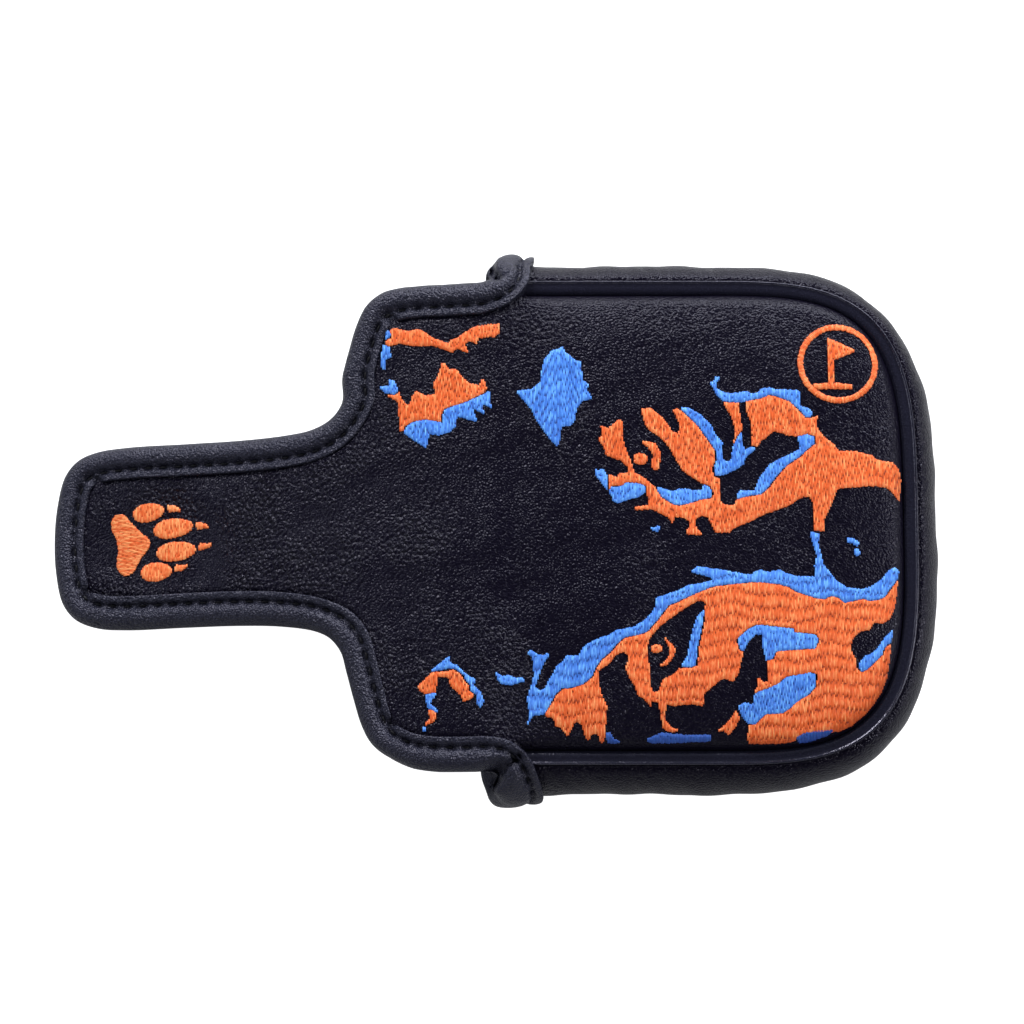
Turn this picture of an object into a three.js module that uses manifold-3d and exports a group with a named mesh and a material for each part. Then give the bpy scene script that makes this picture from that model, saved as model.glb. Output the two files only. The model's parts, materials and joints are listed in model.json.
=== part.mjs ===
// Mallet putter head cover: a padded pouch with a hinged flap that narrows to a closing tongue.
// Millimetres, +Z up. The origin is under the middle of the cover, on the surface it rests on.
// +X is the closed end of the pouch, -X is the tip of the tongue, and the cover is symmetric in Y.
import * as THREE from 'three';
import Module from 'manifold-3d';

const wasm = await Module();
wasm.setup();

// ---------- driving dimensions ----------
const SIDE_Y = 69.2; // half width of the gusset where it bulges most
const BACK_X = 115.6; // closed end of the pouch
const CORNER_X = 54; // the straight sides end here and the rounded back begins
const CORNER_POWER = 3.1; // superellipse power of the outer corner
const CORNER_POWER_PER_MM = 0.06; // the corner gets squarer towards the middle of the panel

const FOLD_X = 0.6; // mouth fold, between pouch and flap
const FOLD_Z = 33.5; // middle of the padded panel at the fold
const TONGUE_FOLD_X = -44; // fold at the root of the tongue
const TIP_X = -115.6; // tip of the tongue, over the binding

const SHELL = 2.5; // half of the padded panel's thickness
const LEATHER = 1.2;
const LINING = 1.3;
const GAP = 0.3; // clearance between neighbouring pieces
const DOME_GAP = 1.2; // clearance between the faceted domes of the top panel and its pad
const NOSE = 2.5; // radius swept by the ends of a folding panel
const ROLL = 3.75; // radius of the rolled binding
const BEAD = 1.8; // radius of the piping
const BINDING_INSET = 7.8; // the panel ends this far inside the rolled edge

const SEAM_Z = 31; // height of the upper piping
const SEAM_INSET = 8.8; // the upper piping runs this far inside the gusset's bulge
const CROWN = 2.2; // rise of the top panel's middle above the fold
const EDGE_DROP = 3.5; // fall of the top panel at the piping
const PANEL_INSET = 10.9; // the top panel ends this far inside the bulge
const PANEL_FRONT = FOLD_X + 3.8; // and starts here, clear of the flap's binding when it folds up
const EMBROIDERY_FRONT = FOLD_X + 2.6; // the threads lie higher, so they start nearer the fold
const BASE_SEAM_Z = 2.4;
const BASE_SEAM_INSET = 6.2;

const SLOPE_START = 0.11; // slope of the flap at the mouth fold
const SLOPE_END = 0.296; // slope of the tongue
const DROOP_RUN = 42; // length over which the slope grows

const THREAD = 0.6; // thickness of an embroidered patch
const MAGNET_R = 7;
const MAGNET_T = 1.5;
const MAGNET_Y = 8.5;
const TONGUE_MAGNET_X = -95;
const BASE_MAGNET_X = 31.5;

// ---------- materials ----------
const make = (color, roughness, metalness = 0) =>
  new THREE.MeshStandardMaterial({ color, roughness, metalness });
const LEATHER_MAT = make(0x17181c, 0.55);
const BINDING_MAT = make(0x1c1e24, 0.5);
const FOAM_MAT = make(0x6a6a6c, 0.95);
const LINING_MAT = make(0x2c2c30, 0.95);
const ORANGE_MAT = make(0xf2682c, 0.6);
const BLUE_MAT = make(0x3d86ea, 0.6);
const MAGNET_MAT = make(0xa8aaad, 0.35, 1);

// ---------- closed solids ----------
// Joins rings of points into one closed skin. Rings have the same number of points.
function loft(rings, { closed = false, fan = false } = {}) {
  const m = rings[0].length;
  const points = rings.flat();
  const faces = [];
  const last = closed ? rings.length : rings.length - 1;
  for (let i = 0; i < last; i++) {
    const a = i * m;
    const b = ((i + 1) % rings.length) * m;
    for (let j = 0; j < m; j++) {
      const k = (j + 1) % m;
      faces.push([a + j, a + k, b + k], [a + j, b + k, b + j]);
    }
  }
  const cap = (ring, start, flip) => {
    const add = (p, q, r) => faces.push(flip ? [p, r, q] : [p, q, r]);
    if (fan) {
      const centre = ring.reduce((sum, p) => sum.add(p), new THREE.Vector3()).divideScalar(m);
      points.push(centre);
      for (let j = 0; j < m; j++) add(points.length - 1, start + ((j + 1) % m), start + j);
      return;
    }
    for (let j = 0; j < m / 2 - 1; j++) {
      const far = m - 1 - j;
      add(start + j, start + far, start + far - 1);
      add(start + j, start + far - 1, start + j + 1);
    }
  };
  if (!closed) {
    cap(rings[0], 0, false);
    cap(rings[rings.length - 1], (rings.length - 1) * m, true);
  }
  return solid(points, faces);
}

// A BufferGeometry from points and triangles, turned so that its faces point out.
function solid(points, faces) {
  const volume = faces.reduce((sum, [a, b, c]) =>
    sum + points[a].dot(new THREE.Vector3().crossVectors(points[b], points[c])), 0);
  const ordered = volume < 0 ? faces.map(([a, b, c]) => [a, c, b]) : faces;
  const geometry = new THREE.BufferGeometry();
  geometry.setFromPoints(points);
  geometry.setIndex(ordered.flat());
  return geometry;
}

// An upright prism over a flat outline, with optional holes.
function prism(outline, zLow, zHigh, holes = []) {
  const flat = outline.map(([x, y]) => new THREE.Vector2(x, y));
  if (THREE.ShapeUtils.isClockWise(flat)) flat.reverse();
  const inner = holes.map((hole) => hole.map(([x, y]) => new THREE.Vector2(x, y)));
  inner.forEach((hole) => {
    if (!THREE.ShapeUtils.isClockWise(hole)) hole.reverse();
  });
  const loops = [flat, ...inner];
  const corners = loops.flat();
  const n = corners.length;
  const points = [zLow, zHigh].flatMap((z) => corners.map((p) => new THREE.Vector3(p.x, p.y, z)));
  const faces = [];
  THREE.ShapeUtils.triangulateShape(flat, inner).forEach(([a, b, c]) => {
    faces.push([a, c, b], [a + n, b + n, c + n]);
  });
  let start = 0;
  loops.forEach((loop) => {
    loop.forEach((_, j) => {
      const p = start + j;
      const q = start + ((j + 1) % loop.length);
      faces.push([p, q, q + n], [p, q + n, p + n]);
    });
    start += loop.length;
  });
  return solid(points, faces);
}

function toManifold(geometry) {
  return new wasm.Manifold(new wasm.Mesh({
    numProp: 3,
    vertProperties: new Float32Array(geometry.attributes.position.array),
    triVerts: new Uint32Array(geometry.index.array),
  }));
}

function fromManifold(body) {
  const mesh = body.getMesh();
  const geometry = new THREE.BufferGeometry();
  geometry.setAttribute('position', new THREE.BufferAttribute(mesh.vertProperties, 3));
  geometry.setIndex(new THREE.BufferAttribute(mesh.triVerts, 1));
  return geometry;
}

const intersect = (a, b) => fromManifold(toManifold(a).intersect(toManifold(b)));
const subtract = (a, b) => fromManifold(toManifold(a).subtract(toManifold(b)));

const circle = (x, y, radius, sides = 20) =>
  Array.from({ length: sides }, (_, i) => {
    const angle = (i / sides) * 2 * Math.PI;
    return [x + radius * Math.cos(angle), y + radius * Math.sin(angle)];
  });

// A round bar along a curve.
function bar(curve, radius, steps, { closed = false, sides = 8 } = {}) {
  const frames = curve.computeFrenetFrames(steps, closed);
  const rings = [];
  for (let i = 0; i < (closed ? steps : steps + 1); i++) {
    const centre = curve.getPointAt(i / steps);
    rings.push(Array.from({ length: sides }, (_, j) => {
      const angle = ((j + 0.5) / sides) * 2 * Math.PI;
      return centre.clone()
        .addScaledVector(frames.normals[i], radius * Math.cos(angle))
        .addScaledVector(frames.binormals[i], radius * Math.sin(angle));
    }));
  }
  return loft(rings, { closed });
}

// ---------- outline of the pouch ----------
const cornerPower = (inset) => CORNER_POWER + CORNER_POWER_PER_MM * inset;

// Point of the rounded back at an angle from -90 degrees (side) through 0 (back) to +90.
function backPoint(angle, inset) {
  const power = 2 / cornerPower(inset);
  const c = Math.abs(Math.cos(angle)) ** power;
  const s = Math.sign(angle) * Math.abs(Math.sin(angle)) ** power;
  return [CORNER_X + (BACK_X - CORNER_X - inset) * c, (SIDE_Y - inset) * s];
}

// Points from the front of one side, round the back, to the front of the other side.
function pouchPath(inset, frontX, sideSteps, backSteps) {
  const side = Array.from({ length: sideSteps }, (_, i) =>
    [THREE.MathUtils.lerp(frontX, CORNER_X, i / sideSteps), SIDE_Y - inset]);
  const back = Array.from({ length: backSteps + 1 }, (_, i) =>
    backPoint((i / backSteps - 0.5) * Math.PI, inset));
  return [...side.map(([x, y]) => [x, -y]), ...back, ...side.reverse()];
}

// Distance from the middle of the panel (0) to the upper seam (1).
function seamRatio(x, y) {
  const power = cornerPower(SEAM_INSET);
  const along = Math.max(0, x - CORNER_X) / (BACK_X - CORNER_X - SEAM_INSET);
  const across = Math.abs(y) / (SIDE_Y - SEAM_INSET);
  return (along ** power + across ** power) ** (1 / power);
}

// Height of the outer leather of the top panel.
function topHeight(x, y) {
  const ratio = Math.min(1, seamRatio(x, y));
  const crown = CROWN * (1 - ratio ** 4) * THREE.MathUtils.smoothstep(x, FOLD_X, FOLD_X + 35);
  const drop = EDGE_DROP * ratio ** 8 * THREE.MathUtils.smoothstep(x, FOLD_X, FOLD_X + 15);
  return FOLD_Z + SHELL + crown - drop;
}

const DOME_CENTRE = [CORNER_X, 0];
const DOME_RINGS = [0.4, 0.7, 0.88, 1];

// A slab over the pouch outline between two heights, which are functions of x and y.
function domeSlab(inset, frontX, low, high, rings = DOME_RINGS) {
  const outline = pouchPath(inset, frontX, 3, 14);
  const front = 5;
  for (let i = 1; i < front; i++) {
    outline.push([frontX, (SIDE_Y - inset) * (1 - (2 * i) / front)]);
  }
  const layer = (scale, height) => outline.map(([px, py]) => {
    const x = THREE.MathUtils.lerp(DOME_CENTRE[0], px, scale);
    const y = THREE.MathUtils.lerp(DOME_CENTRE[1], py, scale);
    return new THREE.Vector3(x, y, height(x, y));
  });
  const under = rings.map((scale) => layer(scale, low));
  const over = rings.map((scale) => layer(scale, high)).reverse();
  return loft([...under, ...over], { fan: true });
}

// ---------- outline and run of the flap and tongue ----------
// Half outline over the rolled binding, from the mouth fold to the tip.
const HALF_OUTLINE = new THREE.CatmullRomCurve3([
  [FOLD_X + 4, 62.9], [-8, 62.9], [-18, 62.5], [-24, 61.5], [-29.2, 59.5], [-32.6, 56.6],
  [-35, 52], [-37, 45.5], [-39, 38], [-40.6, 32.4], [-43.5, 28.6], [-48, 26.3], [-55, 24.9],
  [-65, 24.3], [-80, 24.2], [-96, 24.2], [-104, 23.4], [-109.5, 21.2], [-113, 17], [-115, 9],
  [TIP_X, 0], [-115, -9], [-113, -17],
].map(([x, y]) => new THREE.Vector3(x, y, 0)), false, 'centripetal');

// Points of the half outline moved inwards by an inset, down to the centreline.
function insetOutline(inset, steps = 240) {
  const points = [];
  for (let i = 0; i <= steps; i++) {
    const at = HALF_OUTLINE.getPoint(i / steps);
    const along = HALF_OUTLINE.getTangent(i / steps);
    const moved = [at.x - along.y * inset, at.y + along.x * inset];
    if (moved[1] < 0) break;
    points.push(moved);
  }
  return points;
}

// Half width of the inset outline at x.
function halfWidth(points, x) {
  const j = points.findIndex(([px]) => px <= x);
  if (j <= 0) return points[0][1];
  const [[x0, y0], [x1, y1]] = [points[j - 1], points[j]];
  return THREE.MathUtils.lerp(y0, y1, (x0 - x) / (x0 - x1 || 1));
}

// Height of the middle of the flap and tongue.
function runHeight(x) {
  const s = FOLD_X - x;
  if (s < DROOP_RUN) {
    return FOLD_Z - SLOPE_START * s - ((SLOPE_END - SLOPE_START) * s * s) / (2 * DROOP_RUN);
  }
  return FOLD_Z - ((SLOPE_START + SLOPE_END) / 2) * DROOP_RUN - SLOPE_END * (s - DROOP_RUN);
}

function runSlope(x) {
  const s = THREE.MathUtils.clamp(FOLD_X - x, 0, DROOP_RUN);
  return SLOPE_START + ((SLOPE_END - SLOPE_START) * s) / DROOP_RUN;
}

// A point over the middle of the run at x, moved square to it by an offset.
function runPoint(x, y, offset) {
  const angle = Math.atan(runSlope(x));
  const px = x - offset * Math.sin(angle);
  return new THREE.Vector3(px, y, runHeight(x) + offset * Math.cos(angle));
}

// A slab that follows the run from xStart down to xEnd, between two offsets.
function runSlab(inset, stations, low, high) {
  const outline = insetOutline(inset);
  const columns = [-1, -0.5, 0, 0.5, 1];
  const rings = stations.map((x) => {
    const width = halfWidth(outline, x);
    const over = columns.map((c) => runPoint(x, c * width, high));
    const under = columns.map((c) => runPoint(x, c * width, low)).reverse();
    return [...over, ...under];
  });
  return loft(rings);
}

const spread = (from, to, steps) =>
  Array.from({ length: steps + 1 }, (_, i) => THREE.MathUtils.lerp(from, to, i / steps));

// Stations close up towards the rounded tip.
function tongueStations(from, inset) {
  const end = TIP_X + inset;
  const round = 16;
  const straight = spread(from, end + round, 6);
  const curved = Array.from({ length: 7 }, (_, i) =>
    end + round * (1 - Math.sin((i + 1) / 7.3 * Math.PI / 2)));
  return [...straight, ...curved];
}

const flapStations = (from, to) => [...spread(from, -24, 4), ...spread(-27, to, 6)];

// ---------- the ears and lip at the mouth ----------
const EAR = [
  [FOLD_X + 5.6, -63, 33], [7.6, -65, 29.3], [8.5, -67.4, 25], [8.8, -68.3, 20], [6.8, -68.2, 14],
  [3, -66.5, 8.5], [0.8, -62.5, 5], [0.35, -57, 4.05],
];
const earCurve = new THREE.CatmullRomCurve3(EAR.map((p) => new THREE.Vector3(...p)), false, 'centripetal');

// Foremost x that a gusset layer may reach at a height.
function gussetFront(z) {
  let front = -Infinity;
  for (let i = 0; i <= 60; i++) {
    const p = earCurve.getPoint(i / 60);
    if (Math.abs(p.z - z) < ROLL + GAP) front = Math.max(front, p.x);
  }
  return (Number.isFinite(front) ? front : EAR[0][0]) + ROLL + GAP;
}

function mouthBinding() {
  const lip = spread(-46, 46, 8).map((y) => new THREE.Vector3(0.35, y, 4));
  const near = EAR.map((p) => new THREE.Vector3(...p));
  const far = EAR.map(([x, y, z]) => new THREE.Vector3(x, -y, z)).reverse();
  const path = new THREE.CatmullRomCurve3([...near, ...lip, ...far], false, 'centripetal');
  return bar(path, ROLL, 44);
}

// ---------- gusset ----------
// Outer skin of the gusset in section: inset from the widest line, and height.
const GUSSET_SECTION = new THREE.CatmullRomCurve3([
  [6.4, 30.2], [2.6, 27.2], [0.4, 21.5], [0, 17], [0.3, 11], [1.4, 7], [3.4, 4.4],
].map(([inset, z]) => new THREE.Vector3(inset, z, 0)));

// One layer of the gusset between two depths under its skin.
function gussetLayer(depthOut, depthIn) {
  const steps = 5;
  const edge = (depth) => Array.from({ length: steps + 1 }, (_, i) => {
    const at = GUSSET_SECTION.getPointAt(i / steps);
    const along = GUSSET_SECTION.getTangentAt(i / steps);
    return [at.x - along.y * depth, at.y + along.x * depth];
  });
  const section = [...edge(depthOut), ...edge(depthIn).reverse()];
  const lines = section.map(([inset, z]) => pouchPath(inset, gussetFront(z), 2, 14)
    .map(([x, y]) => new THREE.Vector3(x, y, z)));
  return loft(lines[0].map((_, i) => lines.map((line) => line[i])));
}

// ---------- piping ----------
function piping(inset, z, frontX) {
  const points = pouchPath(inset, frontX, 3, 16).map(([x, y]) => new THREE.Vector3(x, y, z));
  return bar(new THREE.CatmullRomCurve3(points, false, 'centripetal'), BEAD, 40, { sides: 6 });
}

// ---------- binding of the flap and tongue ----------
function rollPath(xStart, xEnd) {
  return insetOutline(ROLL).filter(([x]) => x < xStart && x > xEnd)
    .map(([x, y]) => [x, y]);
}

function flapBinding(side) {
  const outline = insetOutline(ROLL);
  const inner = rollPath(FOLD_X - 1, TONGUE_FOLD_X + ROLL + GAP + 0.6).filter((_, i) => i % 4 === 0);
  const ends = [[FOLD_X, halfWidth(outline, FOLD_X)], ...inner];
  const points = ends.map(([x, y]) => new THREE.Vector3(x, side * y, runHeight(x)));
  return bar(new THREE.CatmullRomCurve3(points, false, 'centripetal'), ROLL, 18);
}

function tongueBinding() {
  const outline = insetOutline(ROLL);
  const inner = rollPath(TONGUE_FOLD_X - 1, TIP_X).filter((_, i) => i % 6 === 0);
  const half = [[TONGUE_FOLD_X, halfWidth(outline, TONGUE_FOLD_X)], ...inner];
  const tip = [TIP_X + ROLL, 0];
  const near = half.filter(([, y]) => y > 2);
  const ends = [...near, tip, ...near.map(([x, y]) => [x, -y]).reverse()];
  const points = ends.map(([x, y]) => new THREE.Vector3(x, y, runHeight(x)));
  return bar(new THREE.CatmullRomCurve3(points, false, 'centripetal'), ROLL, 36);
}

// ---------- embroidery ----------
const above = (x, y) => topHeight(x, y) + DOME_GAP;
const pouchShell = domeSlab(PANEL_INSET, EMBROIDERY_FRONT, above, (x, y) => above(x, y) + THREAD);
const flapShell = runSlab(8.6, flapStations(FOLD_X - 0.2, TONGUE_FOLD_X + 3.4), SHELL + GAP,
  SHELL + GAP + THREAD);
const tongueShell = runSlab(8.6, tongueStations(TONGUE_FOLD_X - 0.4, 8.6), SHELL + GAP,
  SHELL + GAP + THREAD);
const patch = (shell, outline, holes) => intersect(shell, prism(outline, -5, 60, holes));

const turned = (x, y, cx, cy, angle) => [
  cx + x * Math.cos(angle) - y * Math.sin(angle),
  cy + x * Math.sin(angle) + y * Math.cos(angle),
];

// A paw's toe: an oval, blunter at the heel side.
const toe = (x, y, length, width, tilt) => Array.from({ length: 16 }, (_, i) => {
  const a = (i / 16) * 2 * Math.PI;
  const blunt = 1 + 0.12 * Math.cos(a + Math.PI);
  return turned(length * Math.cos(a), width * blunt * Math.sin(a), x, y, tilt);
});

// A claw: a short hooked spike. It bends down, or up when flipped.
const claw = (x, y, flip) => [[0, 0], [1.7, -0.2], [2.9, -0.7], [3.7, -1.6], [2.3, -1.4], [0.3, -1.6]]
  .map(([dx, dy]) => [x + dx, y + flip * dy]);

const PAW_PAD = [
  [-100, 2.7], [-98.9, 4.3], [-97.7, 4.6], [-96.7, 4.2], [-95, 2.4], [-93.3, 0.6], [-91.7, -1],
  [-90.3, -1.8], [-89.6, -3.1], [-89.8, -4.3], [-90.6, -5.6], [-92, -7.3], [-93.2, -9.6],
  [-94.2, -11.1], [-95.8, -11.9], [-97.3, -11.1], [-98.3, -9.4], [-98.2, -7.3], [-97.9, -5.2],
  [-98.2, -3], [-98.8, -1.4], [-99.7, 0.3],
];
const TOES = [[-90, 4.7, 4.2, 2.3, 0.14], [-83.3, 0.3, 5.3, 2.45, 0.1], [-82.4, -5.8, 5.3, 2.4, 0.08],
  [-87.6, -11, 4.2, 2.3, 0.05]];
const CLAWS = [[-84.9, 6.3, 1], [-77.2, 1.5, 1], [-76.4, -5.6, -1], [-82.7, -11, -1]];

// Stripes and eyes of the big-cat face, on the pouch.
const BROW_ORANGE = [
  [27.1, 20.4], [28.2, 20.7], [27.7, 23.4], [29.6, 22.7], [32.2, 24.9], [33.4, 24.4], [33.2, 20.5],
  [34, 17.5], [35.3, 14.2], [36.2, 11.3], [38.4, 10.1], [41.3, 7.7], [43, 4.8], [45.4, 3.3],
  [47.4, 2.7], [50.1, 3.3], [53.1, 4.3], [55.8, 4.7], [56.4, 6], [55.4, 8.2], [53.1, 8.9],
  [50.3, 10.7], [48.3, 12.2], [46.7, 15.1], [44.9, 18.2], [42.9, 20.5], [40.1, 22.5], [39, 23.9],
  [38.4, 26.2], [37.9, 27.6], [40.4, 27.9], [43.5, 25.4], [44.9, 23.4], [45.9, 21.7], [47.2, 21.4],
  [47.8, 22.2], [47.5, 24.5], [46.7, 26.5], [46, 27.4], [47.2, 27.9], [48.8, 26.6], [50.7, 24.9],
  [52.6, 22.9], [53.8, 21], [55.2, 19], [56.4, 17.3], [56.8, 15], [55.9, 12.8], [56.2, 10.4],
  [57.8, 9.6], [58, 3.9], [58.8, 3.2], [60.5, 2.8], [61.6, 3.1], [62, 4.4], [64.6, 5], [68.4, 5.6],
  [70.5, 7.4], [72.9, 10.6], [75.4, 13.3], [78.3, 15.1], [80.2, 17], [82.4, 18.8], [82.3, 20.9],
  [80.2, 21.6], [77.4, 20.9], [75.1, 21.2], [73.2, 21.9], [71.7, 22.3], [70, 20.8], [68.4, 19.7],
  [67.6, 18.3], [66, 18.6], [66.2, 21], [65.8, 24.8], [64.9, 27.1], [64.8, 29.6], [67.8, 30.1],
  [70.9, 31.2], [73.2, 30.5], [75.6, 29.7], [78.6, 26.8], [79.9, 25.3], [81.5, 25.4], [83.1, 26.1],
  [82.6, 24.8], [82.9, 22.6], [84.7, 20.3], [86.9, 18.7], [88.2, 16.8], [92.3, 16.9], [96.8, 15.8],
  [97.7, 14.8], [102.2, 14.2], [103.8, 12.6], [104.4, 10], [103.8, 4.6], [102.5, 6.2],
  [100.6, 7.9], [97.4, 8.3], [94.2, 8.1], [87.8, 7.5], [85.9, 3], [84.3, -0.3], [84.2, -3.5],
  [81.5, -3.3], [81.6, -0.3], [81.5, 3.9], [80.5, 5.4], [78.9, 5.4], [75.1, 3], [68.7, 0.7],
  [65.5, -0.9], [61.4, -2.7], [60.1, -3.8], [56.7, -3.8], [54.8, 0], [53.1, 0.5], [51.7, -0.3],
  [51.4, -1.8], [52.1, -3.2], [53.4, -4.5], [49.4, -4.3], [49.4, -3.3], [50.1, -2.6], [50, -0.9],
  [48.6, 0], [46.3, 0.2], [45.8, -1.5], [44.6, 0.2], [40.7, 2.1], [36.1, 1.9], [36.1, 2.5],
  [39.8, 2.9], [39.8, 4.4], [39.2, 6.2], [39.2, 8], [37.3, 8.9], [33.8, 9.1], [33.1, 8.3],
  [30.5, 8.1], [29.7, 7.2], [29.5, 10.9], [31.7, 10.1], [32.3, 11.1], [34.6, 11.2], [34.4, 13.1],
  [32.7, 14.8], [30.9, 15.2], [28.9, 16.2], [28.5, 18.2], [27.1, 19.9],
];
const BROW_STRIP = [
  [58.9, 29.4], [60.9, 26.2], [61.7, 23.4], [61.7, 20.5], [61.5, 19.1], [62.4, 21], [63.6, 22.5],
  [63.4, 24.8], [63, 27.1], [63.1, 29.2],
];
const DIAGONAL_BLUE = [
  [47.8, 28.2], [50.3, 27.9], [53.1, 26.2], [55.7, 23.7], [56.5, 21.7], [58.6, 19.1], [58.6, 14.8],
  [59.2, 14.4], [60.7, 14.2], [61.2, 17.9], [62.6, 20.6], [63.6, 21.9], [63.6, 18.8], [64.4, 17.1],
  [65.8, 17.9], [67.1, 17.7], [64.4, 15.4], [63.9, 13.7], [62.2, 12.5], [60.2, 11.5],
  [58.2, 10.8], [56.7, 10.8], [56.4, 12.5], [57.2, 14.8], [56.8, 17.4], [55.5, 19.2], [54.1, 21.2],
  [52.8, 23.2], [50.9, 25.2], [49, 26.9],
];
const CREST_BLUE = [
  [55.5, 34.6], [56.6, 34.8], [56.9, 36.2], [58.2, 35.9], [57.1, 34.5], [57.4, 32.9], [58.7, 32.1],
  [61.1, 31.7], [64.6, 32.2], [66.5, 31.6], [67.9, 31.9], [68.7, 33], [70.6, 33.2], [72.5, 32.7],
  [78.3, 32.6], [78.6, 28.5], [81, 27.7], [81.6, 26.8], [81.1, 25.9], [80, 25.8], [78.8, 27.3],
  [75.7, 30.1], [73.2, 31], [70.9, 31.7], [67.8, 30.6], [65.5, 30.1], [63, 29.6], [61, 29.7],
  [58.8, 30], [57.2, 31.6], [56.3, 33.5],
];
const UNDER_EYE_BLUE = [
  [30.4, 7.7], [31.6, 7.5], [33.3, 8], [33.9, 8.7], [37, 8.5], [38.8, 7.8], [38.8, 6.4],
  [37.6, 5.4], [35.3, 4.9], [33.3, 4.1], [32, 3.7], [30.8, 4.2], [30.5, 5.4], [29.6, 6.7],
];
const BRIDGE_BLUE = [
  [41.8, 7.7], [43.5, 7.2], [45.8, 6.4], [47.5, 7.1], [49.2, 7.1], [50.9, 6.7], [53.4, 6.8],
  [53.7, 8.2], [55.1, 7.7], [55.9, 6.2], [55.4, 5.1], [53.1, 4.7], [50.3, 3.8], [47.4, 3.1],
  [45.5, 3.7], [43.3, 5.1], [42.2, 6.5],
];
const NOSE_BLUE = [
  [62, 5.5], [63, 6.7], [66.6, 6.7], [67.8, 9.7], [70.6, 13.4], [73.2, 14.9], [76.4, 16.3],
  [78.3, 17.4], [78.4, 18.4], [77.6, 20.5], [80.2, 21.2], [81.9, 20.6], [82, 19], [79.9, 17.4],
  [78, 15.5], [75.1, 13.7], [72.5, 11], [70.1, 7.8], [68.2, 6], [64.6, 5.4], [62.3, 4.8],
];
const CHEEK_BLUE = [
  [6.2, 32.7], [10.1, 33.2], [12.5, 35.1], [12.6, 37.6], [13.4, 40.8], [15.2, 43], [18.1, 44],
  [18.6, 42.6], [20.3, 41.4], [21.6, 40.2], [22.6, 40.2], [23.2, 35.3], [24.7, 33.9], [24, 33.1],
  [25.4, 30.7], [22.9, 30.1], [21.6, 28.2], [21.1, 25.2], [20, 23.8], [18.1, 23.7], [17.3, 22.4],
  [17.6, 20.8], [16.6, 18.4], [15.2, 19.9], [11.7, 24.6], [10, 28.2], [7.5, 31.2],
];
const SWEEP_BLUE = [
  [7.9, -34.8], [9.8, -33.8], [11.8, -34.9], [13.3, -35.2], [13.9, -34.5], [14.4, -34.9],
  [13.1, -36.9], [12.3, -39], [11.1, -42.2], [11.1, -43.3], [12.2, -43.9], [13.6, -43.3],
  [14.4, -41.2], [15.3, -40.1], [16.3, -38], [17.8, -36.8], [18.8, -35.3], [21.9, -35.2],
  [22.9, -33.3], [24.4, -32.2], [26.6, -31.1], [29.5, -30.1], [31.4, -28.9], [33.9, -28.4],
  [36.1, -27.9], [38.6, -26.3], [40.5, -24.4], [41.4, -22.5], [41.4, -20.8], [44.9, -19.5],
  [47.4, -18.7], [49.6, -17.5], [53.1, -16.9], [55.9, -16.2], [55.5, -15.3], [53, -14.6],
  [50.3, -13.9], [52.1, -12.7], [57.5, -13.5], [65.7, -14.9], [66.3, -14.1], [67.9, -13.6],
  [70.1, -14.2], [72.7, -13.5], [74.5, -14.5], [76.8, -15.2], [81.5, -15.3], [81.6, -12.3],
  [82.3, -9.8], [81.2, -6.3], [80.6, -3.9], [82.9, -4.3], [82.6, -6.7], [83.5, -10.4], [83.7, -12],
  [85.3, -13.9], [87.2, -16.4], [89.7, -18], [93.5, -18.5], [96, -17.7], [98.5, -15.9],
  [100.4, -13.7], [102.3, -12.7], [103.3, -13.6], [102.9, -15.3], [101, -17.7], [99.5, -19.9],
  [97.9, -20.7], [95.3, -21.1], [94.1, -20.5], [89.1, -21.6], [87.5, -20.3], [85.6, -19.9],
  [84, -20.8], [81.5, -20.3], [77.1, -18.9], [75.2, -17.7], [72.6, -17], [68.9, -16.5],
  [65.7, -16.4], [60.3, -17], [56.2, -17.4], [54, -18.3], [50, -19.9], [46.8, -21.5],
  [44.6, -22.4], [43.3, -24], [42.1, -25.6], [40.5, -27.5], [38.9, -29.1], [36.4, -29.9],
  [33.6, -30.3], [31.7, -31.9], [29.8, -34.1], [27.6, -36], [26.3, -37.9], [25.1, -40.5],
  [22.9, -42.2], [20.3, -43], [17.5, -43.2], [16.1, -44.7], [15, -46.7], [13.4, -49.6],
  [10.3, -50.1], [8.9, -52.6], [9.6, -50.1], [8.9, -45.9], [10, -42.5], [10.7, -39.9],
  [10.4, -37.1], [10.3, -35.2], [9, -34.4],
];
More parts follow.
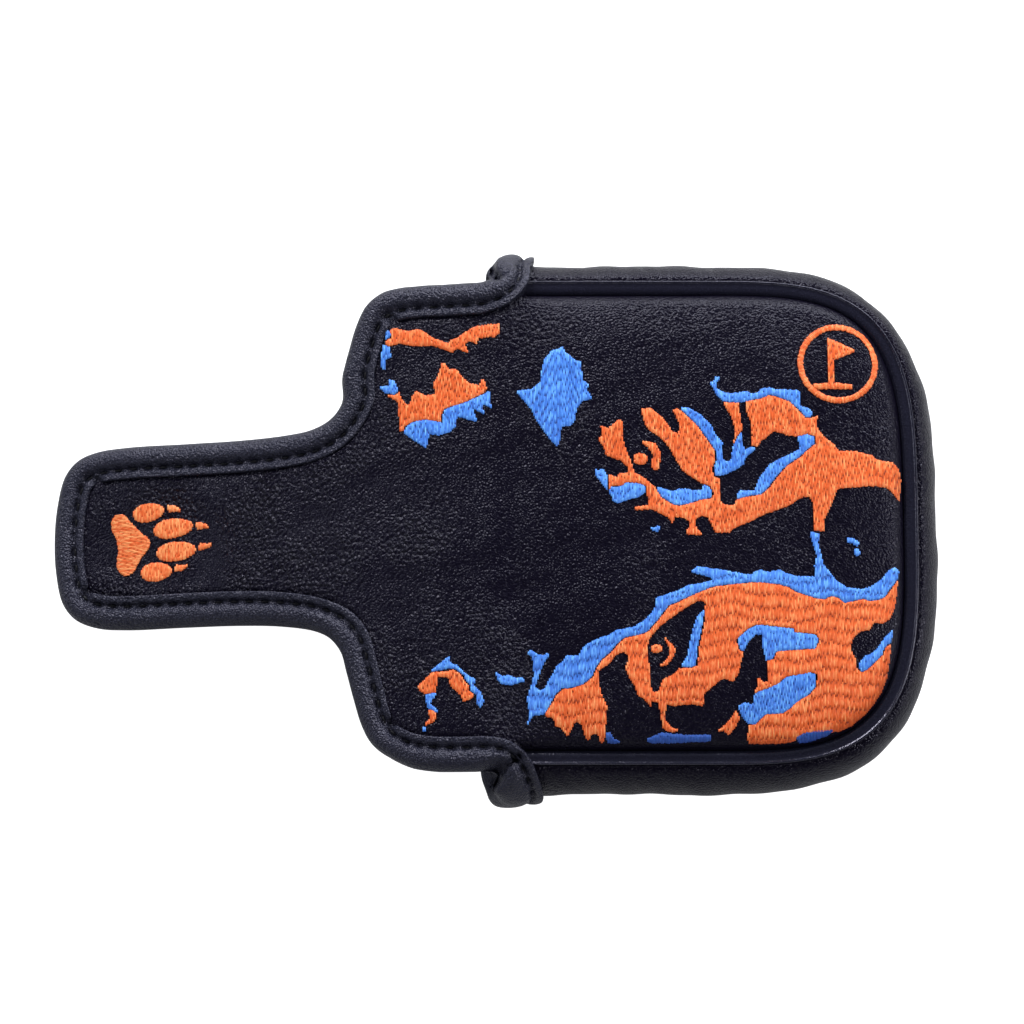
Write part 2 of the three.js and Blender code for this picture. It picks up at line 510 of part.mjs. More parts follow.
const CHEEK_ORANGE = [
  [13.3, -50.1], [14, -48.9], [15.4, -47], [16.5, -45], [17.8, -43.7], [20.4, -43.4],
  [23.2, -42.5], [25.5, -40.7], [26.7, -38.2], [27.9, -36.4], [30.1, -34.5], [32, -32.3],
  [33.8, -30.8], [36.5, -30.3], [39.2, -29.5], [40.8, -27.9], [42.5, -25.9], [43.7, -24.3],
  [44.9, -22.8], [47, -21.9], [50.2, -20.3], [54.1, -18.7], [56.3, -17.8], [60.4, -17.4],
  [65.7, -16.8], [68.9, -16.9], [72.5, -17.4], [75, -18.1], [76.9, -19.3], [81.4, -20.7],
  [84, -21.2], [85.7, -20.3], [87.4, -20.7], [89.1, -22], [94.1, -20.9], [95.3, -21.5],
  [98, -21.1], [99.7, -20.3], [101.3, -18.1], [102.9, -16], [102.3, -21.1], [101.7, -23.6],
  [100.4, -25.8], [98.5, -26.8], [96.6, -26.6], [95.4, -28.4], [93.2, -28.8], [91.3, -30.3],
  [90.4, -32.8], [90.9, -34.7], [92, -36.5], [92.1, -38.7], [93.4, -39.5], [95.3, -38.4],
  [97.2, -36.5], [98.9, -34.9], [99.5, -33.2], [101, -32], [100.4, -36.5], [99.8, -40.6],
  [98.5, -43.8], [96.6, -46.9], [94.1, -49.7], [91, -52.3], [87.8, -53.8], [83.1, -54.5],
  [78.3, -54.5], [76.1, -56.4], [72, -57], [64.8, -57], [64.3, -55.1], [64.9, -53.8], [64.6, -52.7],
  [66.5, -52.6], [67.7, -51.3], [69.2, -50], [73.4, -49.8], [75.3, -48.5], [76.9, -46.9],
  [80.1, -45], [81.8, -43.2], [82.1, -39.7], [80.2, -39.2], [76.8, -39.8], [74.1, -40.3],
  [71.9, -42.1], [69.5, -43.2], [67, -44], [65.9, -44.7], [67, -43.1], [67.1, -40.6], [68.1, -41.9],
  [69.5, -41.9], [69.5, -36.7], [71.1, -36.2], [71.9, -34.4], [75.2, -34], [81.6, -33.6],
  [82.8, -31.2], [81.7, -29.5], [76.5, -29.1], [76.3, -28.1], [70.1, -27.5], [67.3, -27.1],
  [64.6, -28.1], [61.5, -31], [62.2, -33.7], [63.3, -34.6], [62.7, -36.9], [62.2, -39.4],
  [60.7, -41.6], [59.1, -40.9], [57.5, -41.1], [53.4, -44.7], [53.2, -47.7], [50, -47.2],
  [45.5, -47.7], [44, -47.2], [43.7, -49.4], [43.8, -51.6], [45.2, -53.2], [47.3, -54],
  [44.9, -54.2], [42.9, -53.1], [42.6, -50], [41.9, -46.9], [40.2, -46.4], [40, -47.8],
  [38.3, -45.9], [36.9, -45.2], [36.1, -42.8], [34.5, -40.3], [33.7, -38.2], [34.5, -36.5],
  [34.4, -34.9], [33.3, -34.1], [31.4, -34.7], [29.5, -37.1], [27, -38.7], [26.8, -40.6],
  [27.4, -44.4], [29, -48.1], [28.8, -50.7], [28.4, -55.8], [27.9, -57], [27.1, -56.4],
  [26.8, -54.5], [25.1, -54.7], [24.4, -56.4], [23.5, -55.1], [22.6, -52.3], [21.6, -51.5],
  [20.7, -52], [19.7, -54.2], [19.1, -55.3], [17.2, -52.9], [16.1, -52.6], [15.6, -50.7],
];
const CHEEK_EYE_HOLE = [
  [39.4, -31.1], [40.5, -29.8], [42.4, -27.6], [46.2, -24.8], [48.7, -23], [51.8, -21.3],
  [53.1, -21.1], [53.9, -21.8], [53.9, -25.5], [53.3, -28.8], [52.3, -33.2], [51.9, -37.8],
  [50, -38.5], [47.3, -38.5], [45.5, -40.2], [43.3, -41.2], [42.6, -42.5], [42.2, -44.2],
  [40.8, -44.6], [40.2, -43.7], [39.9, -39.9], [39.4, -35.8],
];
const EYE_EDGE_BLUE = [
  [47.7, -37.9], [49.3, -35.4], [49.9, -32], [50.7, -28.6], [51.8, -25.5], [53.5, -23.7],
  [53.4, -25.5], [52.8, -28.7], [51.8, -33.1], [51.4, -37.4], [50, -38],
];
const COMMA_BLUE = [
  [61.9, -31.2], [64.8, -28.5], [67.3, -27.5], [70.1, -27.9], [76, -28.5], [76.1, -29.5],
  [81.5, -29.9], [82.4, -31.2], [81.5, -33.2], [75.2, -33.6], [71.6, -34], [70.8, -35.9],
  [69.1, -36.3], [68.3, -33], [68.3, -29.8], [66.5, -29.7], [64.8, -31.3], [63.4, -34],
  [62.6, -33.5],
];
const LOWER_BAR_BLUE = [
  [61.9, -47.9], [63.5, -47.1], [65.7, -47.5], [66, -45.3], [67, -44.4], [69.5, -43.6],
  [72, -42.5], [74.2, -40.7], [76.8, -40.2], [80.2, -39.6], [81.7, -40], [81.4, -43],
  [79.9, -44.7], [76.8, -46.6], [75.2, -48.2], [73.3, -49.5], [69.1, -49.7], [67.5, -51],
  [66.3, -52.3], [64.4, -52], [63.2, -50.7],
];
const SIDE_BLUE = [
  [92.4, -37.5], [94.1, -35.3], [95.7, -34.7], [97.3, -33.4], [99.5, -30.3], [101.5, -28.4],
  [101, -31.2], [99.1, -32.8], [98.5, -34.7], [96.9, -36.2], [95, -38.1], [93.3, -39.1],
];
const PUPIL_ARC = [
  [37.7, 19.6], [39.8, 19.1], [41.5, 18.8], [42.8, 16.5], [42.8, 14.8], [42.2, 12.2], [41.1, 12.2],
  [40.4, 13.4], [40.9, 15.4], [40.7, 16.8], [39.5, 18.2],
];
const PUPIL_ARC_LOW = [
  [42.9, -29.7], [44, -31.1], [45.5, -32.5], [46.3, -33.8], [45.5, -35.8], [44, -37.4],
  [41.9, -38], [43.7, -36.8], [44.8, -35.2], [44.9, -33.3], [44.1, -31.7],
];

// Stripes on the flap.
const FLAP_TOP_ORANGE = [
  [-26.4, 49.5], [-24.9, 49.9], [-21.7, 48.9], [-19, 49.4], [-17.6, 48.6], [-15.3, 47],
  [-11.1, 45.3], [-10.8, 46.1], [-8.9, 46.7], [-7.6, 47.8], [-6, 48.7], [-4.7, 49.6], [0.2, 50.2],
  [0.2, 47.2], [-3.4, 46.8], [-4.1, 45.4], [-5.7, 46.1], [-7.1, 45.6], [-6.2, 43], [-8.9, 44.2],
  [-10.2, 43.3], [-12.1, 44], [-15.3, 45.2], [-20.1, 45.2], [-24, 46.1], [-26.5, 45.4],
  [-27.8, 46.4], [-25.9, 47.4],
];
const FLAP_ORANGE = [
  [-12.9, 40.3], [-12.1, 40.3], [-11.1, 38.6], [-9.2, 38.6], [-7.6, 36.5], [-6, 34.9],
  [-3.1, 34.2], [-2.8, 35.8], [-2, 35.9], [-1.4, 33.4], [-2.5, 32.3], [-6.3, 30.5], [-12.1, 28.7],
  [-13.1, 26.9], [-13.1, 25.3], [-16.9, 26.1], [-20.4, 25.6], [-22.4, 24.4], [-22.9, 23],
  [-23.6, 23.3], [-23.8, 26], [-24.3, 30.9], [-25.9, 31.9], [-27.5, 32.8], [-24.9, 32.3],
  [-23.8, 33.2], [-23.3, 31.2], [-21.7, 29.7], [-20.9, 30.1], [-20.8, 31.6], [-19.5, 33.2],
  [-17.2, 32], [-15.3, 32.1], [-14.5, 32.5], [-15, 35.1], [-14, 36.7], [-13.4, 38.4],
];
const FLAP_BLUE = [
  [-0.7, 32.8], [-0.2, 28.5], [-1.5, 29.3], [-2.5, 29.5], [-2, 26.9], [-5, 28.7], [-3.9, 25.1],
  [-6.3, 25.8], [-8.9, 26.6], [-9.4, 23.9], [-10.8, 22.5], [-13.4, 21.8], [-16, 22.2],
  [-16.8, 18.6], [-19.8, 20.5], [-22.5, 22.7], [-22, 24], [-20.3, 25.2], [-16.9, 25.7],
  [-12.8, 24.8], [-12.6, 26.8], [-11.9, 28.3], [-6.2, 30.1], [-2.3, 31.9],
];
const FLAP_LOW_BLUE = [
  [-10.4, -34.9], [-15, -38.3], [-15.2, -38.8], [-13.3, -38.4], [-10.6, -37.9], [-9, -38.3],
  [-7.1, -39.7], [-6.4, -41.3], [-5.4, -42.2], [-5.4, -43.6], [-3.9, -44.7], [-3.9, -46.7],
  [-2.8, -48.1], [-2, -46.4], [-2.7, -44.5], [-4.6, -42.6], [-4.2, -41], [-5.5, -40.4],
  [-7.4, -38.9], [-8.7, -37.5], [-10.3, -36.9], [-10.9, -36.2],
];
const FLAP_LOW_ORANGE = [
  [-18.7, -42.6], [-15, -39.1], [-11.2, -39.1], [-10, -38.5], [-8.1, -39.5], [-6.9, -41.4],
  [-5.9, -42.5], [-5.8, -44], [-4.3, -45], [-5.5, -46], [-7.1, -46.3], [-7.9, -44.7],
  [-10.3, -42.5], [-11.1, -40.1], [-13.6, -40.1], [-14.2, -44], [-16.9, -44.3], [-18, -43.8],
];
const FLAP_DROP_ORANGE = [
  [-16, -48.9], [-15, -48.5], [-13.9, -49.6], [-14.4, -51.3], [-16.3, -52.2], [-17.1, -52.5],
  [-15.5, -50.6],
];

// Round emblem: a closed ring with a golf flag in it.
const EMBLEM_X = 88.4;
const EMBLEM_Y = 39.8;
const EMBLEM_R = 10.2;
const EMBLEM_RIM = 1.1;
const EMBLEM_FLAG = [
  [-2.4, 6.6], [4.6, 3.4], [-1.2, 0.9], [-1.2, -5.2], [3.4, -5.6], [3.4, -6.6], [-6.2, -6.6],
  [-6.2, -5.6], [-2.4, -5.2],
].map(([x, y]) => [EMBLEM_X + x, EMBLEM_Y + y]);

// ---------- assembly ----------
const cover = new THREE.Group();

function addPiece(name, geometry, material) {
  const mesh = new THREE.Mesh(geometry, material);
  mesh.name = name;
  cover.add(mesh);
}

function addPouch() {
  const foldFoam = FOLD_X + NOSE + GAP + 0.1;
  const liningTop = SEAM_Z - 0.7;
  addPiece('top_panel', domeSlab(PANEL_INSET, PANEL_FRONT, (x, y) => topHeight(x, y) - LEATHER, topHeight),
    LEATHER_MAT);
  addPiece('top_foam_pad', domeSlab(11.3, foldFoam, () => liningTop + GAP,
    (x, y) => topHeight(x, y) - LEATHER - DOME_GAP), FOAM_MAT);
  addPiece('top_lining', domeSlab(12, foldFoam, () => liningTop - LINING, () => liningTop, [0.5, 1]), LINING_MAT);
  addPiece('gusset_panel', gussetLayer(0, LEATHER), LEATHER_MAT);
  addPiece('gusset_foam', gussetLayer(LEATHER + GAP, 2 * SHELL - LINING - GAP), FOAM_MAT);
  addPiece('gusset_lining', gussetLayer(2 * SHELL - LINING, 2 * SHELL), LINING_MAT);
  addPiece('top_piping', piping(SEAM_INSET, SEAM_Z, FOLD_X + 11), BINDING_MAT);
  addPiece('bottom_piping', piping(BASE_SEAM_INSET, BASE_SEAM_Z, 8), BINDING_MAT);
  addPiece('mouth_binding', mouthBinding(), BINDING_MAT);
}

function addBase() {
  const front = 0.35 + ROLL + GAP;
  const foamLow = LEATHER + GAP;
  const foamHigh = 2 * SHELL - LINING - GAP;
  addPiece('bottom_panel', prism(pouchPath(8.4, front, 1, 24), 0, LEATHER), LEATHER_MAT);
  const pad = prism(pouchPath(8.7, front, 1, 24), foamLow, foamHigh, [1, -1].map((side) =>
    circle(BASE_MAGNET_X, side * MAGNET_Y, MAGNET_R + GAP)));
  addPiece('bottom_foam_pad', pad, FOAM_MAT);
  addPiece('bottom_lining', prism(pouchPath(9.2, front, 1, 24), 2 * SHELL - LINING, 2 * SHELL), LINING_MAT);
  [['left', 1], ['right', -1]].forEach(([name, side]) => {
    addPiece(`base_magnet_${name}`, prism(circle(BASE_MAGNET_X, side * MAGNET_Y, MAGNET_R), foamLow + 0.1,
      foamLow + 0.1 + MAGNET_T), MAGNET_MAT);
  });
}

// The three layers of a folding panel: offsets from its middle, and how far before the tongue's
// fold the flap's layer ends. The tongue's binding swings through that room when it folds under.
const LAYERS = {
  panel: [SHELL - LEATHER, SHELL, 3.2, LEATHER_MAT],
  foam: [-SHELL + LINING + GAP, SHELL - LEATHER - GAP, 4.8, FOAM_MAT],
  lining: [-SHELL, -SHELL + LINING, 5.7, LINING_MAT],
};

function addFlap() {
  Object.entries(LAYERS).forEach(([name, [low, high, room, material]]) => {
    const start = name === 'foam' ? FOLD_X + 1.2 : FOLD_X;
    const stations = flapStations(start, TONGUE_FOLD_X + room);
    addPiece(`flap_${name}`, runSlab(BINDING_INSET, stations, low, high), material);
  });
  addPiece('flap_binding_left', flapBinding(1), BINDING_MAT);
  addPiece('flap_binding_right', flapBinding(-1), BINDING_MAT);
}

// A disc that lies along the tongue, square to it.
function tongueDisc(side, radius, thickness) {
  const disc = prism(circle(0, 0, radius), -thickness / 2, thickness / 2);
  const centre = runPoint(TONGUE_MAGNET_X, side * MAGNET_Y, 0.05);
  disc.rotateY(-Math.atan(SLOPE_END));
  disc.translate(centre.x, centre.y, centre.z);
  return disc;
}

function addTongue() {
  Object.entries(LAYERS).forEach(([name, [low, high, , material]]) => {
    let geometry = runSlab(BINDING_INSET, tongueStations(TONGUE_FOLD_X, BINDING_INSET), low, high);
    if (name === 'foam') {
      geometry = subtract(geometry, tongueDisc(1, MAGNET_R + GAP, 4));
      geometry = subtract(geometry, tongueDisc(-1, MAGNET_R + GAP, 4));
    }
    addPiece(`tongue_${name}`, geometry, material);
  });
  addPiece('tongue_binding', tongueBinding(), BINDING_MAT);
  addPiece('tongue_magnet_left', tongueDisc(1, MAGNET_R, MAGNET_T), MAGNET_MAT);
  addPiece('tongue_magnet_right', tongueDisc(-1, MAGNET_R, MAGNET_T), MAGNET_MAT);
}

function addPaw() {
  addPiece('paw_pad', patch(tongueShell, PAW_PAD), ORANGE_MAT);
  TOES.forEach((args, i) => addPiece(`paw_toe_${i + 1}`, patch(tongueShell, toe(...args)), ORANGE_MAT));
  CLAWS.forEach((args, i) => addPiece(`paw_claw_${i + 1}`, patch(tongueShell, claw(...args)), ORANGE_MAT));
}

function addFace() {
  const orange = {
    face_brow_orange: [BROW_ORANGE], face_brow_strip: [BROW_STRIP],
    face_cheek_orange: [CHEEK_ORANGE, [CHEEK_EYE_HOLE]],
    face_pupil_arc_upper: [PUPIL_ARC], face_pupil_arc_lower: [PUPIL_ARC_LOW],
    emblem_ring: [circle(EMBLEM_X, EMBLEM_Y, EMBLEM_R, 24),
      [circle(EMBLEM_X, EMBLEM_Y, EMBLEM_R - EMBLEM_RIM, 24)]],
    emblem_flag: [EMBLEM_FLAG],
  };
  const blue = {
    face_diagonal_blue: [DIAGONAL_BLUE], face_crest_blue: [CREST_BLUE],
    face_under_eye_blue: [UNDER_EYE_BLUE], face_bridge_blue: [BRIDGE_BLUE],
    face_nose_blue: [NOSE_BLUE], face_cheek_blue: [CHEEK_BLUE], face_sweep_blue: [SWEEP_BLUE],
    face_eye_edge_blue: [EYE_EDGE_BLUE], face_comma_blue: [COMMA_BLUE],
    face_lower_bar_blue: [LOWER_BAR_BLUE], face_side_blue: [SIDE_BLUE],
  };
  Object.entries(orange).forEach(([name, shape]) => addPiece(name, patch(pouchShell, ...shape), ORANGE_MAT));
  Object.entries(blue).forEach(([name, shape]) => addPiece(name, patch(pouchShell, ...shape), BLUE_MAT));
}

function addFlapStripes() {
  addPiece('flap_stripe_top_orange', patch(flapShell, FLAP_TOP_ORANGE), ORANGE_MAT);
  addPiece('flap_stripe_orange', patch(flapShell, FLAP_ORANGE), ORANGE_MAT);
  addPiece('flap_stripe_blue', patch(flapShell, FLAP_BLUE), BLUE_MAT);
  addPiece('flap_low_blue', patch(flapShell, FLAP_LOW_BLUE), BLUE_MAT);
  addPiece('flap_low_orange', patch(flapShell, FLAP_LOW_ORANGE), ORANGE_MAT);
  addPiece('flap_drop_orange', patch(flapShell, FLAP_DROP_ORANGE), ORANGE_MAT);
}

addPouch();
addBase();
addFlap();
addTongue();
addPaw();
addFace();
addFlapStripes();

export default cover;
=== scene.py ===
"""Looks of the mallet putter head cover: leather, piping, rolled binding, linings and embroidery."""
import json
import math
import random

import bpy
import numpy as np
from mathutils import Matrix, Vector
from mathutils.bvhtree import BVHTree


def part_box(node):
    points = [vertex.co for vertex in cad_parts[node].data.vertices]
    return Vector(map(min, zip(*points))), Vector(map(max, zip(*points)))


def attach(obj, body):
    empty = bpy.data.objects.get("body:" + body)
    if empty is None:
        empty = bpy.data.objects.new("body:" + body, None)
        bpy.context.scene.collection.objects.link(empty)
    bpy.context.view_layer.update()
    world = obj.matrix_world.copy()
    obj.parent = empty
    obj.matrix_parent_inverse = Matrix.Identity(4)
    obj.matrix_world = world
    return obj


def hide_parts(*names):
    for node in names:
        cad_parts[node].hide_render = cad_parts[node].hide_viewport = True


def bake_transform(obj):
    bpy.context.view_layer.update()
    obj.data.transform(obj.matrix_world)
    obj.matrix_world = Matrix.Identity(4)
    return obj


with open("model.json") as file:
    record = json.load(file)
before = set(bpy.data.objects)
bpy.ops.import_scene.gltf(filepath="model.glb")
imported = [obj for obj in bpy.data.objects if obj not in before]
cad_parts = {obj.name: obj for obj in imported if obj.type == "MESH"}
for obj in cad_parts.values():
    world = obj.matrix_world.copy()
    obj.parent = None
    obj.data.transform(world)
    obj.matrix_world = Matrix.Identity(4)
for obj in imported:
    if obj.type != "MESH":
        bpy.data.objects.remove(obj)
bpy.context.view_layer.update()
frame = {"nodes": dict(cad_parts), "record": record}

MM = 0.001
TINY = 1e-30  # keeps a divisor above zero
random.seed(7)

# ---------- driving dimensions, in millimetres, as in the model ----------
SIDE_Y, BACK_X, CORNER_X = 69.2, 115.6, 54.0
CORNER_POWER, CORNER_POWER_PER_MM = 3.1, 0.06
FOLD_X, FOLD_Z = 0.6, 33.5
TONGUE_FOLD_X, TIP_X = -44.0, -115.6
SHELL, ROLL, BEAD = 2.5, 3.75, 1.8
SEAM_Z, SEAM_INSET, CROWN, EDGE_DROP = 31.0, 8.8, 2.2, 3.5
BASE_SEAM_Z, BASE_SEAM_INSET = 2.4, 6.2
SLOPE_START, SLOPE_END, DROOP_RUN = 0.11, 0.296, 42.0

SKIN_INSET = 10.3  # the top leather tucks under the piping here
RUN_INSET = 7.4  # and under the binding's inner bead here
EDGE_ROLL = 4.2  # width of the puffed edge beside the piping
SPLIT_X = -22.0  # pieces that cross the mouth fold meet those of the tongue here
FOLD_ZONE = 6.2  # half length of the leather that bends at each fold

PAW_MIDDLE, PAW_HALF, PAW_PRESS = (-86.5, -3.5), (14.5, 10.5), 0.5  # the leather sinks under the paw
THREAD_PITCH = 0.38
THREAD_WIDTH = 0.46
THREAD_RISE = 0.3
STITCH, STITCH_STATIONS = 3.3, 6
SHORTEST_STITCH, SHORTEST_RUN = 0.8, 0.25
PANEL_INSET = 10.9  # the embroidered nodes end here
FIELD_INSET = 9.9  # their stitches run on down to the piping
SEW_PITCH, SEW_LENGTH, SEW_START = 4.25, 2.9, 0.5
SEW_WIDTH, SEW_RISE = 0.7, 0.4
GROOVE_INSET = 6.15

# Section of the rolled binding: inset from the outer edge, and height over the panel's middle.
BINDING_TOP = [
    (8.7, 1.0), (8.82, 2.5), (8.62, 3.25), (8.1, 3.3), (7.4, 3.2), (6.8, 2.95), (6.45, 2.6), (6.15, 2.45),
    (5.8, 2.7), (5.2, 3.2), (4.4, 3.62), (3.3, 3.76), (2.2, 3.5), (1.2, 2.85), (0.45, 1.8), (0.05, 0.6),
]
BINDING_UNDER = [
    (0.05, -0.6), (0.45, -1.8), (1.2, -2.85), (2.3, -3.5), (3.6, -3.74),
    (5.0, -3.4), (6.2, -2.95), (7.6, -2.8), (8.5, -2.6), (8.7, -1.2),
]
BINDING_SECTION = BINDING_TOP + BINDING_UNDER
# The same where a stitch presses the groove in, and where a corner pinches the inner bead.
PRESSED_GROOVE = [(6.85, 2.5), (6.5, 1.5), (6.1, 1.2), (5.7, 1.6), (5.2, 2.85)]
PINCHED_BEAD = [(8.7, 0.2), (8.5, 0.7), (8.1, 1.0), (7.6, 1.3), (7.1, 1.5), (6.7, 1.6)]
PRESSED_SECTION = BINDING_TOP[:5] + PRESSED_GROOVE + BINDING_SECTION[10:]
PINCHED_SECTION = PINCHED_BEAD + BINDING_SECTION[6:]
BEAD_COLUMN, GROOVE_COLUMN = 4, 14  # where the bead and the groove are in a ring
BEAD_PINCHES = {1: [(-27.2, 54.9), (-104.3, 14.1)], -1: [(-25.1, 51.3), (-105.1, 14.5)]}
PINCH_REACH = 1.1
RING_STEP = 0.6

# The soft flap and tongue lie a little askew: sideways shift at stations along X, and a push at the necks.
LEAN_X = [-116, -100, -75, -50, -42, -33, -28, -20, -13, -4, 4, 9]
LEAN_Y = [-1.5, -1.7, -1.4, -1.2, -0.9, 0, 0, -1.0, -1.35, -1.2, -0.4, 0]
NECK_PUSH = 2.0

# How much wider than in the model each ear rolls out towards the flap, as a share of the roll.
EAR_WIDEN = {1: 0.36, -1: 0.62}

# Dents that the folding leather makes at each ear: start, end, radius and depth.
EAR_DENTS = {
    1: [
        ((1.4, 62.8), (-0.3, 65.8), 0.85, 3.4), ((-0.3, 65.8), (0.4, 70), 0.75, 3.0),
        ((1.6, 62.6), (3.9, 63.9), 0.55, 0.9), ((-4.0, 63.8), (-1.4, 65.0), 1.3, 2.0),
        ((1.3, 64.6), (1.6, 69.5), 0.5, -0.6),
    ],
    -1: [
        ((2.4, 63.6), (-1.5, 65.6), 2.1, 4.6), ((0.8, 66.5), (-0.6, 68.6), 1.3, 2.6),
        ((4.4, 62.3), (6.9, 60.4), 0.8, 2.2), ((4.7, 63.2), (0.5, 69.6), 0.5, -1.1),
    ],
}

# Half outline over the rolled binding, from the mouth to the tip, as in the model.
HALF_OUTLINE = [
    (FOLD_X + 4, 62.9), (-8, 62.9), (-18, 62.5), (-24, 61.5), (-29.2, 59.5), (-32.6, 56.6), (-35, 52),
    (-37, 45.5), (-39, 38), (-40.6, 32.4), (-43.5, 28.6), (-48, 26.3), (-55, 24.9), (-65, 24.3),
    (-80, 24.2), (-96, 24.2), (-104, 23.4), (-109.5, 21.2), (-113, 17), (-115, 9), (TIP_X, 0),
    (-115, -9), (-113, -17),
]

# Middle of the binding along the lip, then up round the ear to the flap, and the way its outer face looks.
LIP_ROUTE = [((0.35, 0, 4.0), (0, 0, -1)), ((0.35, 22, 4.0), (0, 0, -1))]
EAR_ROUTE = [
    ((0.35, 44, 4.0), (0, 0, -1)), ((0.35, 52, 4.0), (0, 0.02, -1)), ((0.4, 57.5, 4.1), (0, 0.18, -1)),
    ((0.9, 62.6, 5.2), (0, 0.55, -0.85)), ((3.1, 66.8, 8.8), (0, 0.88, -0.45)),
    ((6.5, 68.2, 14), (0, 1, -0.1)), ((8.7, 68.25, 20), (0.05, 1, 0.05)),
    ((8.7, 67.4, 25), (0.15, 0.97, 0.25)), ((7.5, 65.2, 29.4), (0.2, 0.78, 0.6)),
    ((5.2, 62.4, 32.4), (0.1, 0.36, 0.93)), ((2.0, 60.2, 33.5), (0, 0.1, 1)),
    ((-2.0, 59.2, 33.2), (-0.11, 0, 1)),
]

# Section of the piping, outward and up as shares of its radius: a flattened bead with a ridge outside.
PIPING_SECTION = [
    (-0.95, -0.2), (-0.98, 0.2), (-0.8, 0.6), (-0.4, 0.82), (0.1, 0.84), (0.55, 0.8), (0.76, 0.88),
    (0.89, 1.02), (1.07, 0.9), (1.06, 0.55), (1.0, 0.1), (0.85, -0.5), (0.5, -0.86), (0, -1),
    (-0.5, -0.86), (-0.82, -0.58),
]

# Section of the gusset's skin: inset from the bulge's widest line, and height.
GUSSET_SECTION = [
    (10.0, 29.6), (8.4, 29.4), (7.3, 30.3), (6.9, 30.25), (6.5, 30.45), (5.2, 30.3), (3.4, 28.6), (1.7, 25.6),
    (0.5, 21.6), (0.0, 17.0), (0.3, 12.0), (1.2, 8.0), (2.6, 5.2), (3.8, 4.0), (4.6, 3.4), (6.4, 3.4),
]


# ---------- curves and outlines ----------
def smoothstep(x, low, high):
    t = np.clip((np.asarray(x, float) - low) / (high - low), 0, 1)
    return t * t * (3 - 2 * t)


def spline(points, per_span):
    """A centripetal Catmull-Rom curve through points, sampled evenly within each span."""
    p = np.asarray(points, float)
    p = np.vstack([2 * p[0] - p[1], p, 2 * p[-1] - p[-2]])
    out = []
    for i in range(1, len(p) - 2):
        p0, p1, p2, p3 = p[i - 1 : i + 3]
        d0, d1, d2 = (math.sqrt(max(np.linalg.norm(b - a), 1e-9)) for a, b in ((p0, p1), (p1, p2), (p2, p3)))
        t1 = ((p1 - p0) / d0 - (p2 - p0) / (d0 + d1) + (p2 - p1) / d1) * d1
        t2 = ((p2 - p1) / d1 - (p3 - p1) / (d1 + d2) + (p3 - p2) / d2) * d1
        t = np.linspace(0, 1, per_span, endpoint=False)[:, None]
        out.append(
            (2 * t**3 - 3 * t**2 + 1) * p1 + (t**3 - 2 * t**2 + t) * t1
            + (3 * t**2 - 2 * t**3) * p2 + (t**3 - t**2) * t2
        )
    out.append(p[-2][None])
    return np.vstack(out)


def resample(points, count=None, step=None):
    """Points at even distances along a polyline, which may carry further columns."""
    p = np.asarray(points, float)
    s = np.concatenate([[0], np.cumsum(np.linalg.norm(np.diff(p[:, :3], axis=0), axis=1))])
    count = count or int(round(s[-1] / step)) + 1
    at = np.linspace(0, s[-1], count)
    return np.stack([np.interp(at, s, p[:, i]) for i in range(p.shape[1])], axis=1)


def unit(v):
    v = np.asarray(v, float)
    return v / np.maximum(np.linalg.norm(v, axis=-1, keepdims=True), 1e-9)


def corner_power(inset):
    return CORNER_POWER + CORNER_POWER_PER_MM * inset


def back_curve(inset, count):
    """The rounded back of the pouch at an inset, from -Y round to +Y, with even steps."""
    angle = np.linspace(-math.pi / 2, math.pi / 2, 721)
    power = 2 / corner_power(inset)
    x = CORNER_X + (BACK_X - CORNER_X - inset) * np.abs(np.cos(angle)) ** power
    y = (SIDE_Y - inset) * np.sign(angle) * np.abs(np.sin(angle)) ** power
    x[0] = x[-1] = CORNER_X
    return resample(np.stack([x, y], axis=1), count)


OUTLINE = spline([(x, y, 0) for x, y in HALF_OUTLINE], 24)[:, :2]
OUTLINE_IN = unit(np.gradient(OUTLINE, axis=0))
OUTLINE_IN = np.stack([-OUTLINE_IN[:, 1], OUTLINE_IN[:, 0]], axis=1)


def inset_outline(inset):
    moved = OUTLINE + OUTLINE_IN * inset
    return moved[moved[:, 1] >= 0]


def half_width(inset, x):
    """Half width of the flap and tongue at x, an inset inside their outer edge."""
    line = inset_outline(inset)
    order = np.argsort(line[:, 0])
    return np.interp(x, line[order, 0], line[order, 1])


# ---------- heights ----------
def run_height(x):
    """Middle of the padded panel along the flap and tongue."""
    s = np.maximum(FOLD_X - np.asarray(x, float), 0)
    near = np.minimum(s, DROOP_RUN)
    drop = SLOPE_START * near + (SLOPE_END - SLOPE_START) * near**2 / (2 * DROOP_RUN)
    return FOLD_Z - drop - SLOPE_END * np.maximum(s - DROOP_RUN, 0)


def run_slope(x):
    s = np.clip(FOLD_X - np.asarray(x, float), 0, DROOP_RUN)
    return SLOPE_START + (SLOPE_END - SLOPE_START) * s / DROOP_RUN


def run_points(x, y, offset):
    """Points moved square to the run's middle by an offset."""
    angle = np.arctan(run_slope(x))
    return np.stack([x - offset * np.sin(angle), y, run_height(x) + offset * np.cos(angle)], axis=-1)


def leaned(points):
    """The flap and tongue moved to where the soft leather lies; the pouch stays."""
    points = np.array(points, float)
    x, y = points[..., 0], points[..., 1]
    push = NECK_PUSH * smoothstep(x, -60, -47) * (1 - smoothstep(x, -32, -14))
    push *= np.where(y < 0, smoothstep(-y, 12, 24), smoothstep(y, 12, 20) * (1 - smoothstep(y, 31, 40)))
    points[..., 1] += np.interp(x, LEAN_X, LEAN_Y)
    points[..., 0] += push
    return points


def seam_ratio(x, y, inset):
    n = corner_power(inset)
    along = np.maximum(0, x - CORNER_X) / (BACK_X - CORNER_X - inset)
    across = np.abs(y) / (SIDE_Y - inset)
    return (along**n + across**n) ** (1 / n)


